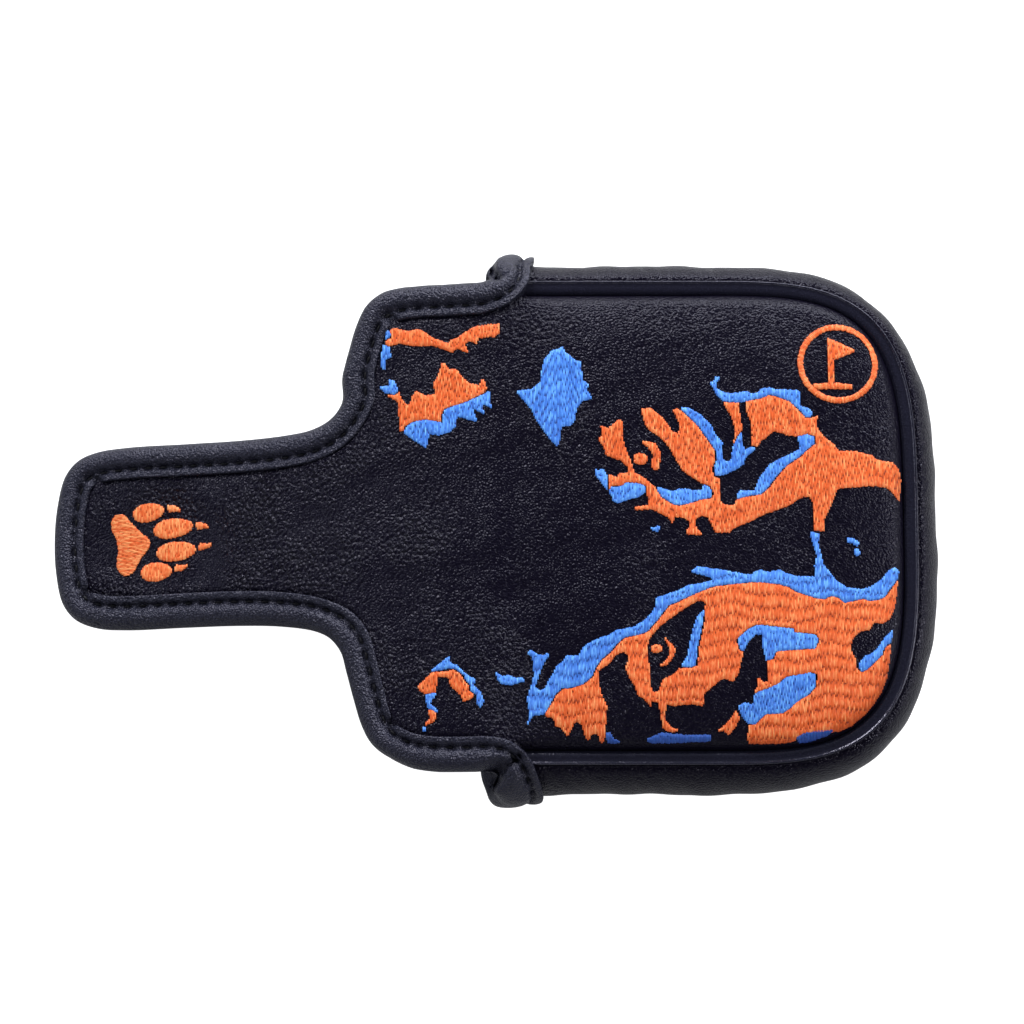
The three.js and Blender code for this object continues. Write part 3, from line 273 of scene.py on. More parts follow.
def seam_distance(x, y, inset):
    """Distance from a point of the top panel out to the outline at an inset."""
    n = corner_power(inset)
    a, b = BACK_X - CORNER_X - inset, SIDE_Y - inset
    ratio = np.maximum(seam_ratio(x, y, inset), 1e-3)
    gx = (np.maximum(0, x - CORNER_X) / a / ratio) ** (n - 1) / a
    gy = (np.abs(y) / b / ratio) ** (n - 1) / b
    return (1 - ratio) / np.maximum(np.sqrt(gx**2 + gy**2), TINY)


def waves(x, y, size):
    """A gentle uneven swell between -1 and 1."""
    u, v = np.asarray(x) / size, np.asarray(y) / size
    total = np.sin(1.3 * u + 0.7 * v + 1) + np.sin(-0.9 * u + 1.7 * v + 2) + np.sin(2.1 * u + 0.3 * v + 4)
    return (total + np.sin(0.4 * u - 2.3 * v + 0.5)) / 4


def skin_height(x, y):
    """Height of the outer leather over the whole cover, before the edges tuck in."""
    x, y = np.asarray(x, float), np.asarray(y, float)
    ratio = np.minimum(seam_ratio(x, y, SEAM_INSET), 1)
    crown = CROWN * (1 - ratio**4) * smoothstep(x, FOLD_X, FOLD_X + 35)
    drop = 0.55 * EDGE_DROP * ratio**8 * smoothstep(x, FOLD_X, FOLD_X + 15)
    run = run_height(x) + SHELL * np.sqrt(1 + run_slope(x) ** 2 * (x < FOLD_X))
    swell = 0.22 * waves(x, y, 9) + 0.1 * waves(x + 31, y - 17, 3.4)
    crease = 0.22 * np.exp(-(((x - 5.4 - 0.02 * np.abs(y)) / 1.3) ** 2))
    paw_away = np.hypot((x - PAW_MIDDLE[0]) / PAW_HALF[0], (y - PAW_MIDDLE[1]) / PAW_HALF[1])
    press = PAW_PRESS * (1 - smoothstep(paw_away, 0.95, 1.45))
    return run + crown - drop + swell - crease - press


def tucked_height(x, y):
    """Outer leather with its puffed edge rolled down beside the piping."""
    away = np.clip(seam_distance(x, y, SKIN_INSET) / EDGE_ROLL, 0, 1)
    height = skin_height(x, y)
    fall = (height - (SEAM_Z - 1.2)) * (1 - np.sqrt(1 - (1 - away) ** 2.6))
    return height - fall * smoothstep(x, FOLD_X + 3, FOLD_X + 9)


# ---------- meshes ----------
def grid_faces(rows, columns, wrap_rows=False, wrap_columns=False, start=0):
    faces = []
    for i in range(rows if wrap_rows else rows - 1):
        a, b = i * columns, ((i + 1) % rows) * columns
        for j in range(columns if wrap_columns else columns - 1):
            k = (j + 1) % columns
            faces.append((start + a + j, start + a + k, start + b + k, start + b + j))
    return faces


UNDER = (0, 0, -1000)  # faces turned away from here look up
OVER = (0, 0, 1000)  # and from here, down


def facing_away(points, faces, centre):
    """The faces, all reversed if most of their area looks towards a centre."""
    corners = np.asarray(points, float)[np.asarray(faces)]
    normals = np.cross(corners[:, 2] - corners[:, 0], corners[:, 3] - corners[:, 1])
    outward = np.sum(normals * (corners.mean(axis=1) - centre))
    return faces if outward > 0 else [face[::-1] for face in faces]


def add_mesh(name, points, faces, material, slot, attributes=None, away_from=(50, 0, 17)):
    """A smooth mesh from millimetre points, with optional named float values on its points."""
    mesh = bpy.data.meshes.new(name)
    faces = facing_away(points, faces, away_from)
    mesh.from_pydata((np.asarray(points, float) * MM).tolist(), [], faces)
    mesh.validate()
    mesh.polygons.foreach_set("use_smooth", [True] * len(mesh.polygons))
    mesh.materials.append(material)
    for key, values in (attributes or {}).items():
        mesh.attributes.new(key, "FLOAT", "POINT").data.foreach_set("value", np.asarray(values, np.float32))
    piece = bpy.data.objects.new(name, mesh)
    bpy.context.scene.collection.objects.link(piece)
    return piece


def grid_normals(points):
    """Normals of a grid of points with rows and columns."""
    along = np.gradient(points, axis=0)
    across = np.gradient(points, axis=1)
    return unit(np.cross(along, across))


def set_normals(piece, normals):
    piece.data.normals_split_custom_set_from_vertices(normals.tolist())


def at_mouth_fold(piece):
    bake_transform(piece)


def at_tongue_fold(piece):
    near, far = TONGUE_FOLD_X + FOLD_ZONE, TONGUE_FOLD_X - FOLD_ZONE
    run_height(near) * MM
    run_height(far) * MM
    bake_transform(piece)


# ---------- materials ----------
WARP = 0.0005  # how far the grain is bent out of its regular cells, as a share
# The coarse pebbles' strength along X: metres from and to, strength from and to.
COARSE_BY_X = (-0.07, 0.05, 3.4, 0.7)


def new_material(name, color, roughness, **sockets):
    material = bpy.data.materials.new(name)
    material.use_nodes = True
    shader = material.node_tree.nodes["Principled BSDF"]
    shader.inputs["Base Color"].default_value = (*color, 1)
    shader.inputs["Roughness"].default_value = roughness
    for key, value in sockets.items():
        shader.inputs[key.replace("_", " ")].default_value = value
    return material


def add_node(material, kind, **values):
    node = material.node_tree.nodes.new(kind)
    for key, value in values.items():
        if key in node.inputs:
            node.inputs[key].default_value = value
        else:
            setattr(node, key, value)
    return node


def join(material, out, to):
    material.node_tree.links.new(out, to)


def object_coordinates(material):
    return add_node(material, "ShaderNodeTexCoord").outputs["Object"]


def add_bump(material, heights, distance, strength):
    """Chains a bump node onto the shader's normal."""
    shader = material.node_tree.nodes["Principled BSDF"]
    bump = add_node(material, "ShaderNodeBump", Strength=strength, Distance=distance)
    join(material, heights, bump.inputs["Height"])
    if shader.inputs["Normal"].is_linked:
        join(material, shader.inputs["Normal"].links[0].from_socket, bump.inputs["Normal"])
    join(material, bump.outputs["Normal"], shader.inputs["Normal"])


def tint(material, factor, low, high):
    """Mixes two colours into the base colour by a factor."""
    ramp = add_node(material, "ShaderNodeValToRGB")
    ramp.color_ramp.elements[0].color = (*low, 1)
    ramp.color_ramp.elements[1].color = (*high, 1)
    join(material, factor, ramp.inputs["Fac"])
    join(material, ramp.outputs["Color"], material.node_tree.nodes["Principled BSDF"].inputs["Base Color"])
    return ramp


def math_node(material, operation, first, second):
    """Output of a math node on two inputs, each a socket or a number."""
    node = add_node(material, "ShaderNodeMath", operation=operation)
    for value, to in zip((first, second), node.inputs):
        if isinstance(value, float):
            to.default_value = value
        else:
            join(material, value, to)
    return node.outputs[0]


def map_range(material, value, from_min, from_max, to_min=0.0, to_max=1.0):
    """A socket's value moved from one range to another, and held within it."""
    node = add_node(material, "ShaderNodeMapRange")
    limits = {"From Min": from_min, "From Max": from_max, "To Min": to_min, "To Max": to_max}
    for key, limit in limits.items():
        node.inputs[key].default_value = limit
    join(material, value, node.inputs["Value"])
    return node.outputs[0]


def leather_material(name, dark, light, roughness, gloss, grain, depth, coarse_depth):
    """Pebbled leather: rounded grains, patches of coarser grain, and a duller tone in the creases."""
    material = new_material(name, dark, roughness, Specular_IOR_Level=gloss, Specular_Tint=(0.84, 0.82, 1, 1))
    at = object_coordinates(material)
    warp = add_node(material, "ShaderNodeTexNoise", Scale=420, Detail=2)
    join(material, at, warp.inputs["Vector"])
    mix = add_node(material, "ShaderNodeMix", data_type="VECTOR")
    mix.inputs[0].default_value = WARP
    join(material, at, mix.inputs[4])
    join(material, warp.outputs["Color"], mix.inputs[5])
    warped = mix.outputs[1]
    cells = add_node(material, "ShaderNodeTexVoronoi", feature="SMOOTH_F1", Scale=1 / (grain * MM))
    cells.inputs["Smoothness"].default_value = 0.35
    join(material, warped, cells.inputs["Vector"])
    pebbles = math_node(material, "SUBTRACT", 1.0, cells.outputs["Distance"])
    fine = add_node(material, "ShaderNodeTexNoise", Scale=3500, Detail=1)
    join(material, at, fine.inputs["Vector"])
    add_bump(material, fine.outputs["Fac"], 0.00005, 0.6)
    add_bump(material, pebbles, depth * MM, 0.9)
    add_coarse_grain(material, warped, 1.8 * grain, coarse_depth)
    tint(material, pebbles, dark, light)
    return material


def add_coarse_grain(material, at, grain, depth):
    """Coarser pebbles that come and go over the hide, and are strongest on the tongue."""
    cells = add_node(material, "ShaderNodeTexVoronoi", feature="F1", Scale=1 / (grain * MM))
    join(material, at, cells.inputs["Vector"])
    pebbles = math_node(material, "SUBTRACT", 1.0, cells.outputs["Distance"])
    patch = add_node(material, "ShaderNodeTexNoise", Scale=45, Detail=2)
    join(material, at, patch.inputs["Vector"])
    patches = map_range(material, patch.outputs["Fac"], 0.42, 0.62)
    place = add_node(material, "ShaderNodeSeparateXYZ")
    join(material, at, place.inputs[0])
    towards_tip = map_range(material, place.outputs["X"], *COARSE_BY_X)
    spread = math_node(material, "MULTIPLY", patches, towards_tip)
    height = math_node(material, "MULTIPLY", pebbles, spread)
    add_bump(material, height, depth * MM, 0.9)


def lining_material():
    """Short plush: a soft nap with tufts."""
    material = new_material("plush_lining", (0.03, 0.03, 0.033), 0.95, Sheen_Weight=0.3, Sheen_Roughness=0.5)
    at = object_coordinates(material)
    nap = add_node(material, "ShaderNodeTexNoise", Scale=1500, Detail=6)
    join(material, at, nap.inputs["Vector"])
    add_bump(material, nap.outputs["Fac"], 0.0006, 0.8)
    tint(material, nap.outputs["Fac"], (0.006, 0.006, 0.008), (0.035, 0.035, 0.04))
    return material


def thread_material(name, deep, color, light):
    """Glossy embroidery thread whose shade follows the value stored on each stitch, from the deep colour
    through its own to the light one: the deep end is painted shade and the light end painted highlight, over
    a tone that varies at random.
    """
    material = new_material(name, color, 0.4, Specular_IOR_Level=0.35)
    shade = add_node(material, "ShaderNodeAttribute", attribute_name="shade")
    ramp = tint(material, shade.outputs["Fac"], deep, light)
    ramp.color_ramp.elements.new(0.64).color = (*color, 1)
    return material


LEATHER = leather_material(
    "black_pebble_leather", dark=(0.0026, 0.002, 0.0058), light=(0.0052, 0.0042, 0.0105),
    roughness=0.2, gloss=0.17, grain=0.56, depth=0.23, coarse_depth=0.3,
)
BINDING = leather_material(
    "binding_leather", dark=(0.0088, 0.009, 0.0155), light=(0.021, 0.0215, 0.036),
    roughness=0.26, gloss=0.32, grain=0.55, depth=0.36, coarse_depth=0.12,
)
PIPING = leather_material(
    "piping_leather", dark=(0.006, 0.006, 0.012), light=(0.013, 0.013, 0.024),
    roughness=0.17, gloss=0.6, grain=0.5, depth=0.05, coarse_depth=0.03,
)
LINING = lining_material()
ORANGE = thread_material("orange_thread", (0.155, 0.007, 0.002), (0.79, 0.13, 0.0225), (0.95, 0.395, 0.14))
BLUE = thread_material("blue_thread", (0.01, 0.01, 0.16), (0.056, 0.22, 0.74), (0.2, 0.54, 1.0))
SEWING = new_material("sewing_thread", (0.006, 0.006, 0.009), 0.5, Specular_IOR_Level=0.2)


# ---------- top leather ----------
COLUMNS, FAN_ROWS, BACK_ROWS = 131, 20, 46
FAN_TIP_X = -92.0


def edge_spacing(count):
    """Values from -1 to 1 that lie closer together at both ends."""
    t = np.linspace(-1, 1, count)
    return 0.55 * t + 0.45 * np.sin(t * math.pi / 2)


def skin_half_width(x):
    """Half width of the top leather from the tongue to the straight sides of the pouch."""
    flap = half_width(RUN_INSET, np.minimum(x, FOLD_X))
    return flap + (SIDE_Y - SKIN_INSET - flap) * smoothstep(x, FOLD_X - 1, FOLD_X + 9)


def skin_plan(step=1.15):
    """Plan of the whole top leather as rows from the tip of the tongue to the back of the pouch."""
    u = edge_spacing(COLUMNS)
    tip = inset_outline(RUN_INSET)
    tip = tip[tip[:, 0] <= FAN_TIP_X]
    tip = np.vstack([[FAN_TIP_X, half_width(RUN_INSET, FAN_TIP_X)], tip, [TIP_X + RUN_INSET, 0]])
    tip = resample(np.vstack([tip * [1, -1], tip[::-1][1:]]), COLUMNS)
    base = np.stack([np.full(COLUMNS, FAN_TIP_X), u * half_width(RUN_INSET, FAN_TIP_X)], axis=1)
    rows = [tip + (base - tip) * t**1.4 for t in np.linspace(0, 1, FAN_ROWS, endpoint=False)]
    for x in np.arange(FAN_TIP_X, CORNER_X, step):
        rows.append(np.stack([np.full(COLUMNS, x), u * skin_half_width(x)], axis=1))
    front = np.stack([np.full(COLUMNS, CORNER_X), u * (SIDE_Y - SKIN_INSET)], axis=1)
    back = back_curve(SKIN_INSET, COLUMNS)
    rows += [front + (back - front) * (1 - (1 - t) ** 1.4) for t in np.linspace(0, 1, BACK_ROWS)]
    return np.array(rows)


def split_rows(plan):
    """The row where the pieces of the two folds meet."""
    return int(np.argmin(np.abs(plan[:, COLUMNS // 2, 0] - SPLIT_X)))


def add_grid(name, points, normals, first, last, material, slot, away_from):
    rows = points[first : last + 1]
    faces = grid_faces(len(rows), rows.shape[1])
    piece = add_mesh(name, rows.reshape(-1, 3), faces, material, slot, away_from=away_from)
    set_normals(piece, normals[first : last + 1].reshape(-1, 3))
    return piece


def add_top_leather():
    plan = skin_plan()
    x, y = plan[..., 0], plan[..., 1]
    edge = (skin_half_width(x) - np.abs(y)) * (x < FOLD_X + 2)
    tuck = np.where(x < FOLD_X + 2, np.exp(-(np.clip(edge, 0, 9) / 1.6) ** 2), 0)
    tuck = 0.9 * tuck * (1 - smoothstep(x, FOLD_X - 4, FOLD_X + 2))
    plan = leaned(plan)
    points = np.dstack([plan, tucked_height(plan[..., 0], plan[..., 1]) - tuck])
    normals = -grid_normals(points)
    normals[normals[..., 2] < 0] *= -1
    at = split_rows(plan)
    tongue = add_grid("tongue_leather", points, normals, 0, at, LEATHER, "leather", UNDER)
    pouch = add_grid("pouch_leather", points, normals, at, len(plan) - 1, LEATHER, "leather", UNDER)
    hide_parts("tongue_panel", "tongue_foam")
    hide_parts("top_panel", "top_foam_pad", "flap_panel", "flap_foam")
    at_tongue_fold(tongue)
    at_mouth_fold(pouch)


# ---------- rolled binding ----------
def run_stations():
    """Stations of the binding along one side, from the ear to the tip: outline point and inward way."""
    table = np.hstack([OUTLINE, np.zeros((len(OUTLINE), 1)), OUTLINE_IN])
    table = table[(OUTLINE[:, 0] <= -2.05) & (OUTLINE[:, 1] >= 0)]
    return resample(table, step=RING_STEP)


# The ear on each side sits a little nearer the flap than in the model, at its widest.
EAR_SHIFTS = {1: -3.2, -1: -1.0}


def ear_shift(side, z):
    """How far an ear is moved along X at a height."""
    return EAR_SHIFTS[side] * smoothstep(z, 5, 16) * (1 - smoothstep(z, 30.5, 33.4))


def binding_rows(side, section=BINDING_SECTION):
    """Rings of the binding round one half of the cover, from the middle of the lip to the tip."""
    section = np.asarray(section, float)
    inset, rise = section[:, 0], section[:, 1]
    route = np.array([(*p, *u) for p, u in LIP_ROUTE + EAR_ROUTE])
    route[:, 0] += ear_shift(side, route[:, 2])
    route = resample(spline(route, 24), step=RING_STEP)
    middle, outer = route[:, :3], unit(route[:, 3:])
    along = unit(np.gradient(middle, axis=0))
    inward = unit(np.cross(outer, along))
    outer = unit(np.cross(along, inward))
    widen = EAR_WIDEN[side] * smoothstep(middle[:, 2], 6, 15) * (1 - smoothstep(middle[:, 2], 29, 33))
    reach = (inset - ROLL)[None, :] + np.minimum(inset - 5, 0)[None, :] * widen[:, None]
    ear = middle[:, None] + inward[:, None] * reach[..., None] + outer[:, None] * rise[None, :, None]
    stations = run_stations()
    flat = stations[:, None, :2] + unit(stations[:, 3:5])[:, None] * inset[None, :, None]
    flat[..., 1] = np.maximum(flat[..., 1], 0)
    run = run_points(flat[..., 0], flat[..., 1], np.broadcast_to(rise, flat.shape[:2]))
    rings = np.vstack([ear[:-1], run])
    return leaned(rings if side == 1 else rings * [1, -1, 1])


def add_swept(name, rings, material, slot, closed=False):
    rows, columns = rings.shape[:2]
    faces = grid_faces(rows, columns, wrap_rows=closed, wrap_columns=True)
    return add_mesh(name, rings.reshape(-1, 3), faces, material, slot)


def binding_spans():
    """Where the half binding is cut: mouth, flap and tongue."""
    middle = binding_rows(1, [(3.3, 3.76)])[:, 0]
    past_ear = np.argmax((middle[:, 2] > 30) & (middle[:, 0] < FOLD_X + FOLD_ZONE))
    past_flap = np.argmax((middle[:, 0] < SPLIT_X) & (middle[:, 2] > 20))
    mouth, flap, tongue = slice(0, past_ear + 1), slice(past_ear, past_flap + 1), slice(past_flap, None)
    return {"mouth": mouth, "flap": flap, "tongue": tongue}


def distance_along(rings, column):
    line = rings[:, column]
    return np.concatenate([[0], np.cumsum(np.linalg.norm(np.diff(line, axis=0), axis=1))])


def stitch_press(rings, column):
    """How far each ring of the binding is pressed in by a stitch, from 0 to 1."""
    press = np.zeros(len(rings))
    for span in binding_spans().values():
        s = distance_along(rings[span], column)
        wave = 0.5 + 0.5 * np.cos(2 * math.pi * (s - SEW_START - SEW_LENGTH / 2) / SEW_PITCH)
        press[span] = 0.8 * wave**0.7 * smoothstep(s, 0, 1.5) * (1 - smoothstep(s, s[-1] - 1.5, s[-1]))
    return press


def bead_pinch(side, rings):
    """How far each ring's bead is pinched by the corners, from 0 to 1."""
    s = distance_along(rings, BEAD_COLUMN)
    bead = rings[:, BEAD_COLUMN]
    pinch = np.zeros(len(rings))
    for x, y in BEAD_PINCHES[side]:
        at = np.argmin(np.hypot(bead[:, 0] - x, np.abs(bead[:, 1]) - y))
        pinch = np.maximum(pinch, np.exp(-(((s - s[at]) / PINCH_REACH) ** 2)))
    return pinch


def dented(side, rings):
    """The rings with the ear's dents pressed in, except on the underside."""
    rings = rings.copy()
    normals = grid_normals(rings)
    normals *= np.sign(np.sum(normals * (rings - rings.mean(axis=1, keepdims=True)), axis=-1, keepdims=True))
    open_to_dents = smoothstep(normals[..., 2], -0.3, 0.25) * smoothstep(rings[..., 2], 9, 16)
    for start, end, radius, depth in EAR_DENTS[side]:
        a, b = (np.array([x, y * side]) for x, y in (start, end))
        along = np.clip(((rings[..., :2] - a) @ (b - a)) / ((b - a) @ (b - a)), 0, 1)
        away = np.linalg.norm(rings[..., :2] - a - along[..., None] * (b - a), axis=-1)
        rings[..., 2] -= depth * np.exp(-((away / radius) ** 2)) * open_to_dents
    return rings


def dressed_binding(side):
    """Rings of half the binding with its stitched groove, pinched corners and dented ear."""
    plain, pressed, pinched = (
        binding_rows(side, spline([(*p, 0) for p in section + section[:1]], 2)[:-1, :2])
        for section in (BINDING_SECTION, PRESSED_SECTION, PINCHED_SECTION)
    )
    press = stitch_press(plain, GROOVE_COLUMN)[:, None, None]
    pinch = bead_pinch(side, plain)[:, None, None]
    return dented(side, plain + (pressed - plain) * press + (pinched - plain) * pinch)


def add_binding():
    upper, lower = dressed_binding(1), dressed_binding(-1)
    span = binding_spans()
    mouth = np.vstack([lower[span["mouth"]][::-1], upper[span["mouth"]][1:]])
    lip = add_swept("mouth_binding_leather", mouth, BINDING, "binding_leather")
    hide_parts("mouth_binding")
    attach(lip, "pouch")
    for side, rings in (("left", upper), ("right", lower)):
        edge = add_swept(f"flap_binding_{side}_leather", rings[span["flap"]], BINDING, "binding_leather")
        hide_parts(f"flap_binding_{side}")
        at_mouth_fold(edge)
    tip = np.vstack([upper[span["tongue"]], lower[span["tongue"]][::-1][1:]])
    end = add_swept("tongue_binding_leather", tip, BINDING, "binding_leather")
    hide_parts("tongue_binding")
    at_tongue_fold(end)


# ---------- sewing ----------
def stitch_rings(start, end, up, width, rise, stations=6, sides=6):
    """Rings of one stitch that comes up at start and goes down at end."""
    along = unit(end - start)
    side = unit(np.cross(along, up))
    rings = []
    for t in np.linspace(0, 1, stations):
        arch = math.sin(math.pi * t) ** 0.6
        middle = start + (end - start) * t + up * rise * (arch - 0.55)
        thick = 0.35 + 0.65 * arch
        rings.append([
            middle + side * math.cos(a) * width / 2 * thick + up * math.sin(a) * width / 2 * thick
            for a in np.linspace(0, 2 * math.pi, sides, endpoint=False)
        ])
    return np.array(rings)


def add_sewing(name, line, ups, finish):
    """A row of machine stitches along a line of points."""
    table = np.hstack([line, ups])
    s = distance_along(table[:, None, :3], 0)
    points, faces = [], []
    for at in np.arange(SEW_START, s[-1] - SEW_LENGTH, SEW_PITCH):
        start, end = (
            np.array([np.interp(t, s, column) for column in table.T]) for t in (at, at + SEW_LENGTH)
        )
        rings = stitch_rings(start[:3], end[:3], unit(start[3:] + end[3:]), SEW_WIDTH, SEW_RISE)
        faces += grid_faces(len(rings), rings.shape[1], wrap_columns=True, start=len(points))
        points += rings.reshape(-1, 3).tolist()
    piece = add_mesh(name, points, faces, SEWING, "binding_leather")
    finish(piece)


def add_binding_sewing():
    groove = [(GROOVE_INSET, 1.6), (GROOVE_INSET, 2.6)]
    finish = {"mouth": lambda p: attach(p, "pouch"), "flap": at_mouth_fold, "tongue": at_tongue_fold}
    spans = binding_spans()
    for name, side in (("left", 1), ("right", -1)):
        lines = binding_rows(side, groove)
        for part, span in spans.items():
            add_sewing(f"{part}_sewing_{name}", lines[span, 0], lines[span, 1] - lines[span, 0], finish[part])


# ---------- pouch walls ----------
def ear_x(side, z):
    """Middle of the mouth binding at a height."""
    route = np.array([p for p, _ in EAR_ROUTE])
    rising = route[2:10]
    return np.interp(z, rising[:, 2], rising[:, 0]) + ear_shift(side, z)


def wall_rings(section, tuck):
    """Rings along the pouch wall: front of one side, round the back, front of the other side."""
    lines = []
    for inset, z in section:
        y = np.full(40, SIDE_Y - inset)
        lower, upper = (
            np.stack([np.linspace(ear_x(side, z) + tuck, CORNER_X, 40, endpoint=False), side * y], axis=1)
            for side in (-1, 1)
        )
        path = np.vstack([lower, back_curve(inset, 140), upper[::-1]])
        lines.append(np.hstack([path, np.full((len(path), 1), z)]))
    return np.swapaxes(np.array(lines), 0, 1)


def add_gusset():
    section = spline([(i, z, 0) for i, z in GUSSET_SECTION], 4)[:, :2]
    rings = wall_rings(section, 3.2)
    along = np.cumsum(np.linalg.norm(np.diff(rings[:, 20], axis=0, prepend=rings[:1, 20]), axis=1))[:, None]
    bulge = 1 - np.clip(section[:, 0] / 5, 0, 1)[None, :]
    swell = 0.3 * np.sin(along / 7 + 1.3) + 0.22 * np.sin(along / 3.1)
    swell = swell + 0.14 * np.sin(along / 1.7 + section[:, 1] / 3)
    upper = smoothstep(section[:, 1], 22, 29)[None, :] * (1 - smoothstep(section[:, 0], 5.4, 6.6))[None, :]
    phase = along / 0.62 + 1.4 * np.sin(along / 4.1) + section[:, 1] * 0.5
    ripple = 0.2 * np.sin(phase) * np.sin(along / 6.3) ** 2
    outward = grid_normals(rings)
    outward *= np.sign(np.sum(outward * (rings - [50, 0, 17]), axis=-1, keepdims=True))
    rings = rings + outward * ((swell * (0.25 + 0.75 * bulge) - 0.3) * 0.6 + ripple * upper)[..., None]
    piece = add_mesh("gusset_leather", rings.reshape(-1, 3), grid_faces(*rings.shape[:2]), LEATHER, "leather")
    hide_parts("gusset_panel", "gusset_foam")
    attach(piece, "pouch")


def add_piping(name, node, inset, z, front):
    side = np.stack([np.linspace(front, CORNER_X, 60, endpoint=False), np.full(60, SIDE_Y - inset)], axis=1)
    path = np.vstack([side * [1, -1], back_curve(inset, 200), side[::-1]])
    middle = np.hstack([path, np.full((len(path), 1), z)])
    out = unit(np.gradient(middle, axis=0))
    out = np.stack([out[:, 1], -out[:, 0], np.zeros(len(out))], axis=1)
    section = np.array(PIPING_SECTION) * BEAD
    rings = middle[:, None] + out[:, None] * section[None, :, :1] + np.array([0, 0, 1]) * section[None, :, 1:]
    piece = add_swept(name, rings, PIPING, "binding_leather")
    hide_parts(node)
    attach(piece, "pouch")


def pouch_plan(inset, front):
    """Plan of a panel of the pouch, from the mouth to the back."""
    columns, straight, rounded = 61, 26, 20
    y = edge_spacing(columns) * (SIDE_Y - inset)
    rows = [np.stack([np.full(columns, x), y], axis=1) for x in np.linspace(front, CORNER_X, straight)]
    back = back_curve(inset, columns)
    corner = rows[-1]
    rows += [corner + (back - corner) * t for t in np.linspace(0, 1, rounded)[1:]]
    return np.array(rows)


def add_base():
    plan = pouch_plan(7.4, 3.6)
    edge = np.clip(seam_distance(plan[..., 0], plan[..., 1], 7.4), 0, 4)
    points = np.dstack([plan, 0.05 + 1.3 * (1 - np.clip(edge / 2.5, 0, 1)) ** 2])
    faces = grid_faces(*points.shape[:2])
    piece = add_mesh("base_leather", points.reshape(-1, 3), faces, LEATHER, "leather", away_from=OVER)
    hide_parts("bottom_panel", "bottom_foam_pad")
    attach(piece, "pouch")


# ---------- linings ----------
def add_pouch_lining():
    ceiling, floor = pouch_plan(11.4, FOLD_X + 5), pouch_plan(8, 3.2)
    section = [(11.4, 28.9), (9.4, 27.2), (7.2, 23), (5.1, 17), (5.3, 11), (6.2, 7.5), (8, 5.1)]
    wall = wall_rings(spline([(i, z, 0) for i, z in section], 4)[:, :2], 2.6)
    points, faces = [], []
    for sheet in (np.dstack([ceiling, 28.9 + 0.5 * waves(ceiling[..., 0], ceiling[..., 1], 7)]),
                  np.dstack([floor, 5.1 + 0.35 * waves(floor[..., 0], floor[..., 1], 8)]), wall):
        faces += grid_faces(*sheet.shape[:2], start=len(points))
        points += sheet.reshape(-1, 3).tolist()
    piece = add_mesh("pouch_lining", points, faces, LINING, "lining")
    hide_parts("top_lining", "gusset_lining", "bottom_lining")
    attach(piece, "pouch")


def add_flap_lining():
    plan = skin_plan(step=2.3)
    at = split_rows(plan)
    last = int(np.argmin(np.abs(plan[:, COLUMNS // 2, 0] - (FOLD_X + 7))))
    x, y = plan[..., 0], plan[..., 1]
    share = np.clip(np.abs(y) / np.maximum(skin_half_width(x), TINY), 0, 1)
    puff = 0.5 * (1 - share**6) + 0.3 * waves(x, y, 6)
    points = run_points(x, y, -SHELL - puff)
    points[..., 2] -= 2.2 * smoothstep(x, FOLD_X, FOLD_X + 6)
    points = leaned(points)
    normals = grid_normals(points)
    normals[normals[..., 2] > 0] *= -1
    tongue = add_grid("tongue_lining_plush", points, normals, 0, at, LINING, "lining", OVER)
    flap = add_grid("flap_lining_plush", points, normals, at, last, LINING, "lining", OVER)
    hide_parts("tongue_lining")
    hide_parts("flap_lining")
    at_tongue_fold(tongue)
    at_mouth_fold(flap)


# ---------- embroidery ----------
def node_region(name):
    """A test of whether a point of the plan lies under an embroidered node, and the node's box."""
    mesh = frame["nodes"][name].data
    tree = BVHTree.FromPolygons([v.co for v in mesh.vertices], [tuple(p.vertices) for p in mesh.polygons])
    low, high = (np.array(corner)[:2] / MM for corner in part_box(name))
    down = Vector((0, 0, -1))
    on_pouch = low[0] > FOLD_X

    def inside(x, y):
        if on_pouch and seam_ratio(x, y, PANEL_INSET + 0.1) > 1:
            if seam_ratio(x, y, FIELD_INSET) > 1:
                return False
            shrink = 0.998 / seam_ratio(x, y, PANEL_INSET + 0.1)
            x, y = (x if x < CORNER_X else CORNER_X + (x - CORNER_X) * shrink), y * shrink
        return tree.ray_cast(Vector((x * MM, y * MM, 1)), down)[0] is not None

    room = 1.5 if on_pouch else 0.2
    return inside, low - room, high + room


def outline_region(outline):
    """The same for an outline of points."""
    p = np.asarray(outline, float)
    q = np.roll(p, -1, axis=0)

    def inside(x, y):
        cross = (p[:, 1] > y) != (q[:, 1] > y)
        at = p[:, 0] + (y - p[:, 1]) * (q[:, 0] - p[:, 0]) / np.where(cross, q[:, 1] - p[:, 1], 1)
        return bool(np.sum(cross & (x < at)) % 2)

    return inside, p.min(0), p.max(0)


def cross_border(inside, a, b):
    """Point of the border between a (inside) and b (outside)."""
    for _ in range(6):
        middle = (a + b) / 2
        if inside(*middle):
            a = middle
        else:
            b = middle
    return a


def fill_lines(region, angle, pitch):
    """Runs of thread that fill a region, as pairs of plan points in parallel lines."""
    inside, low, high = region
    centre = (np.asarray(low) + np.asarray(high)) / 2
    along = np.array([-math.sin(angle), math.cos(angle)])
    across = np.array([math.cos(angle), math.sin(angle)])
    size = np.asarray(high) - np.asarray(low)
    reach = np.abs(size @ np.abs(along)) / 2 + 0.6
    wide = np.abs(size @ np.abs(across)) / 2
    runs = []
    for k, shift in enumerate(np.arange(-wide, wide + pitch, pitch)):
        samples = [centre + across * shift + along * t for t in np.arange(-reach, reach, 0.3)]
        state = [inside(*p) for p in samples]
        start = None
        for i in range(1, len(samples)):
            if state[i] and not state[i - 1]:
                start = cross_border(inside, samples[i], samples[i - 1])
            if state[i - 1] and not state[i] and start is not None:
                runs.append((k, start, cross_border(inside, samples[i - 1], samples[i])))
                start = None
    return runs


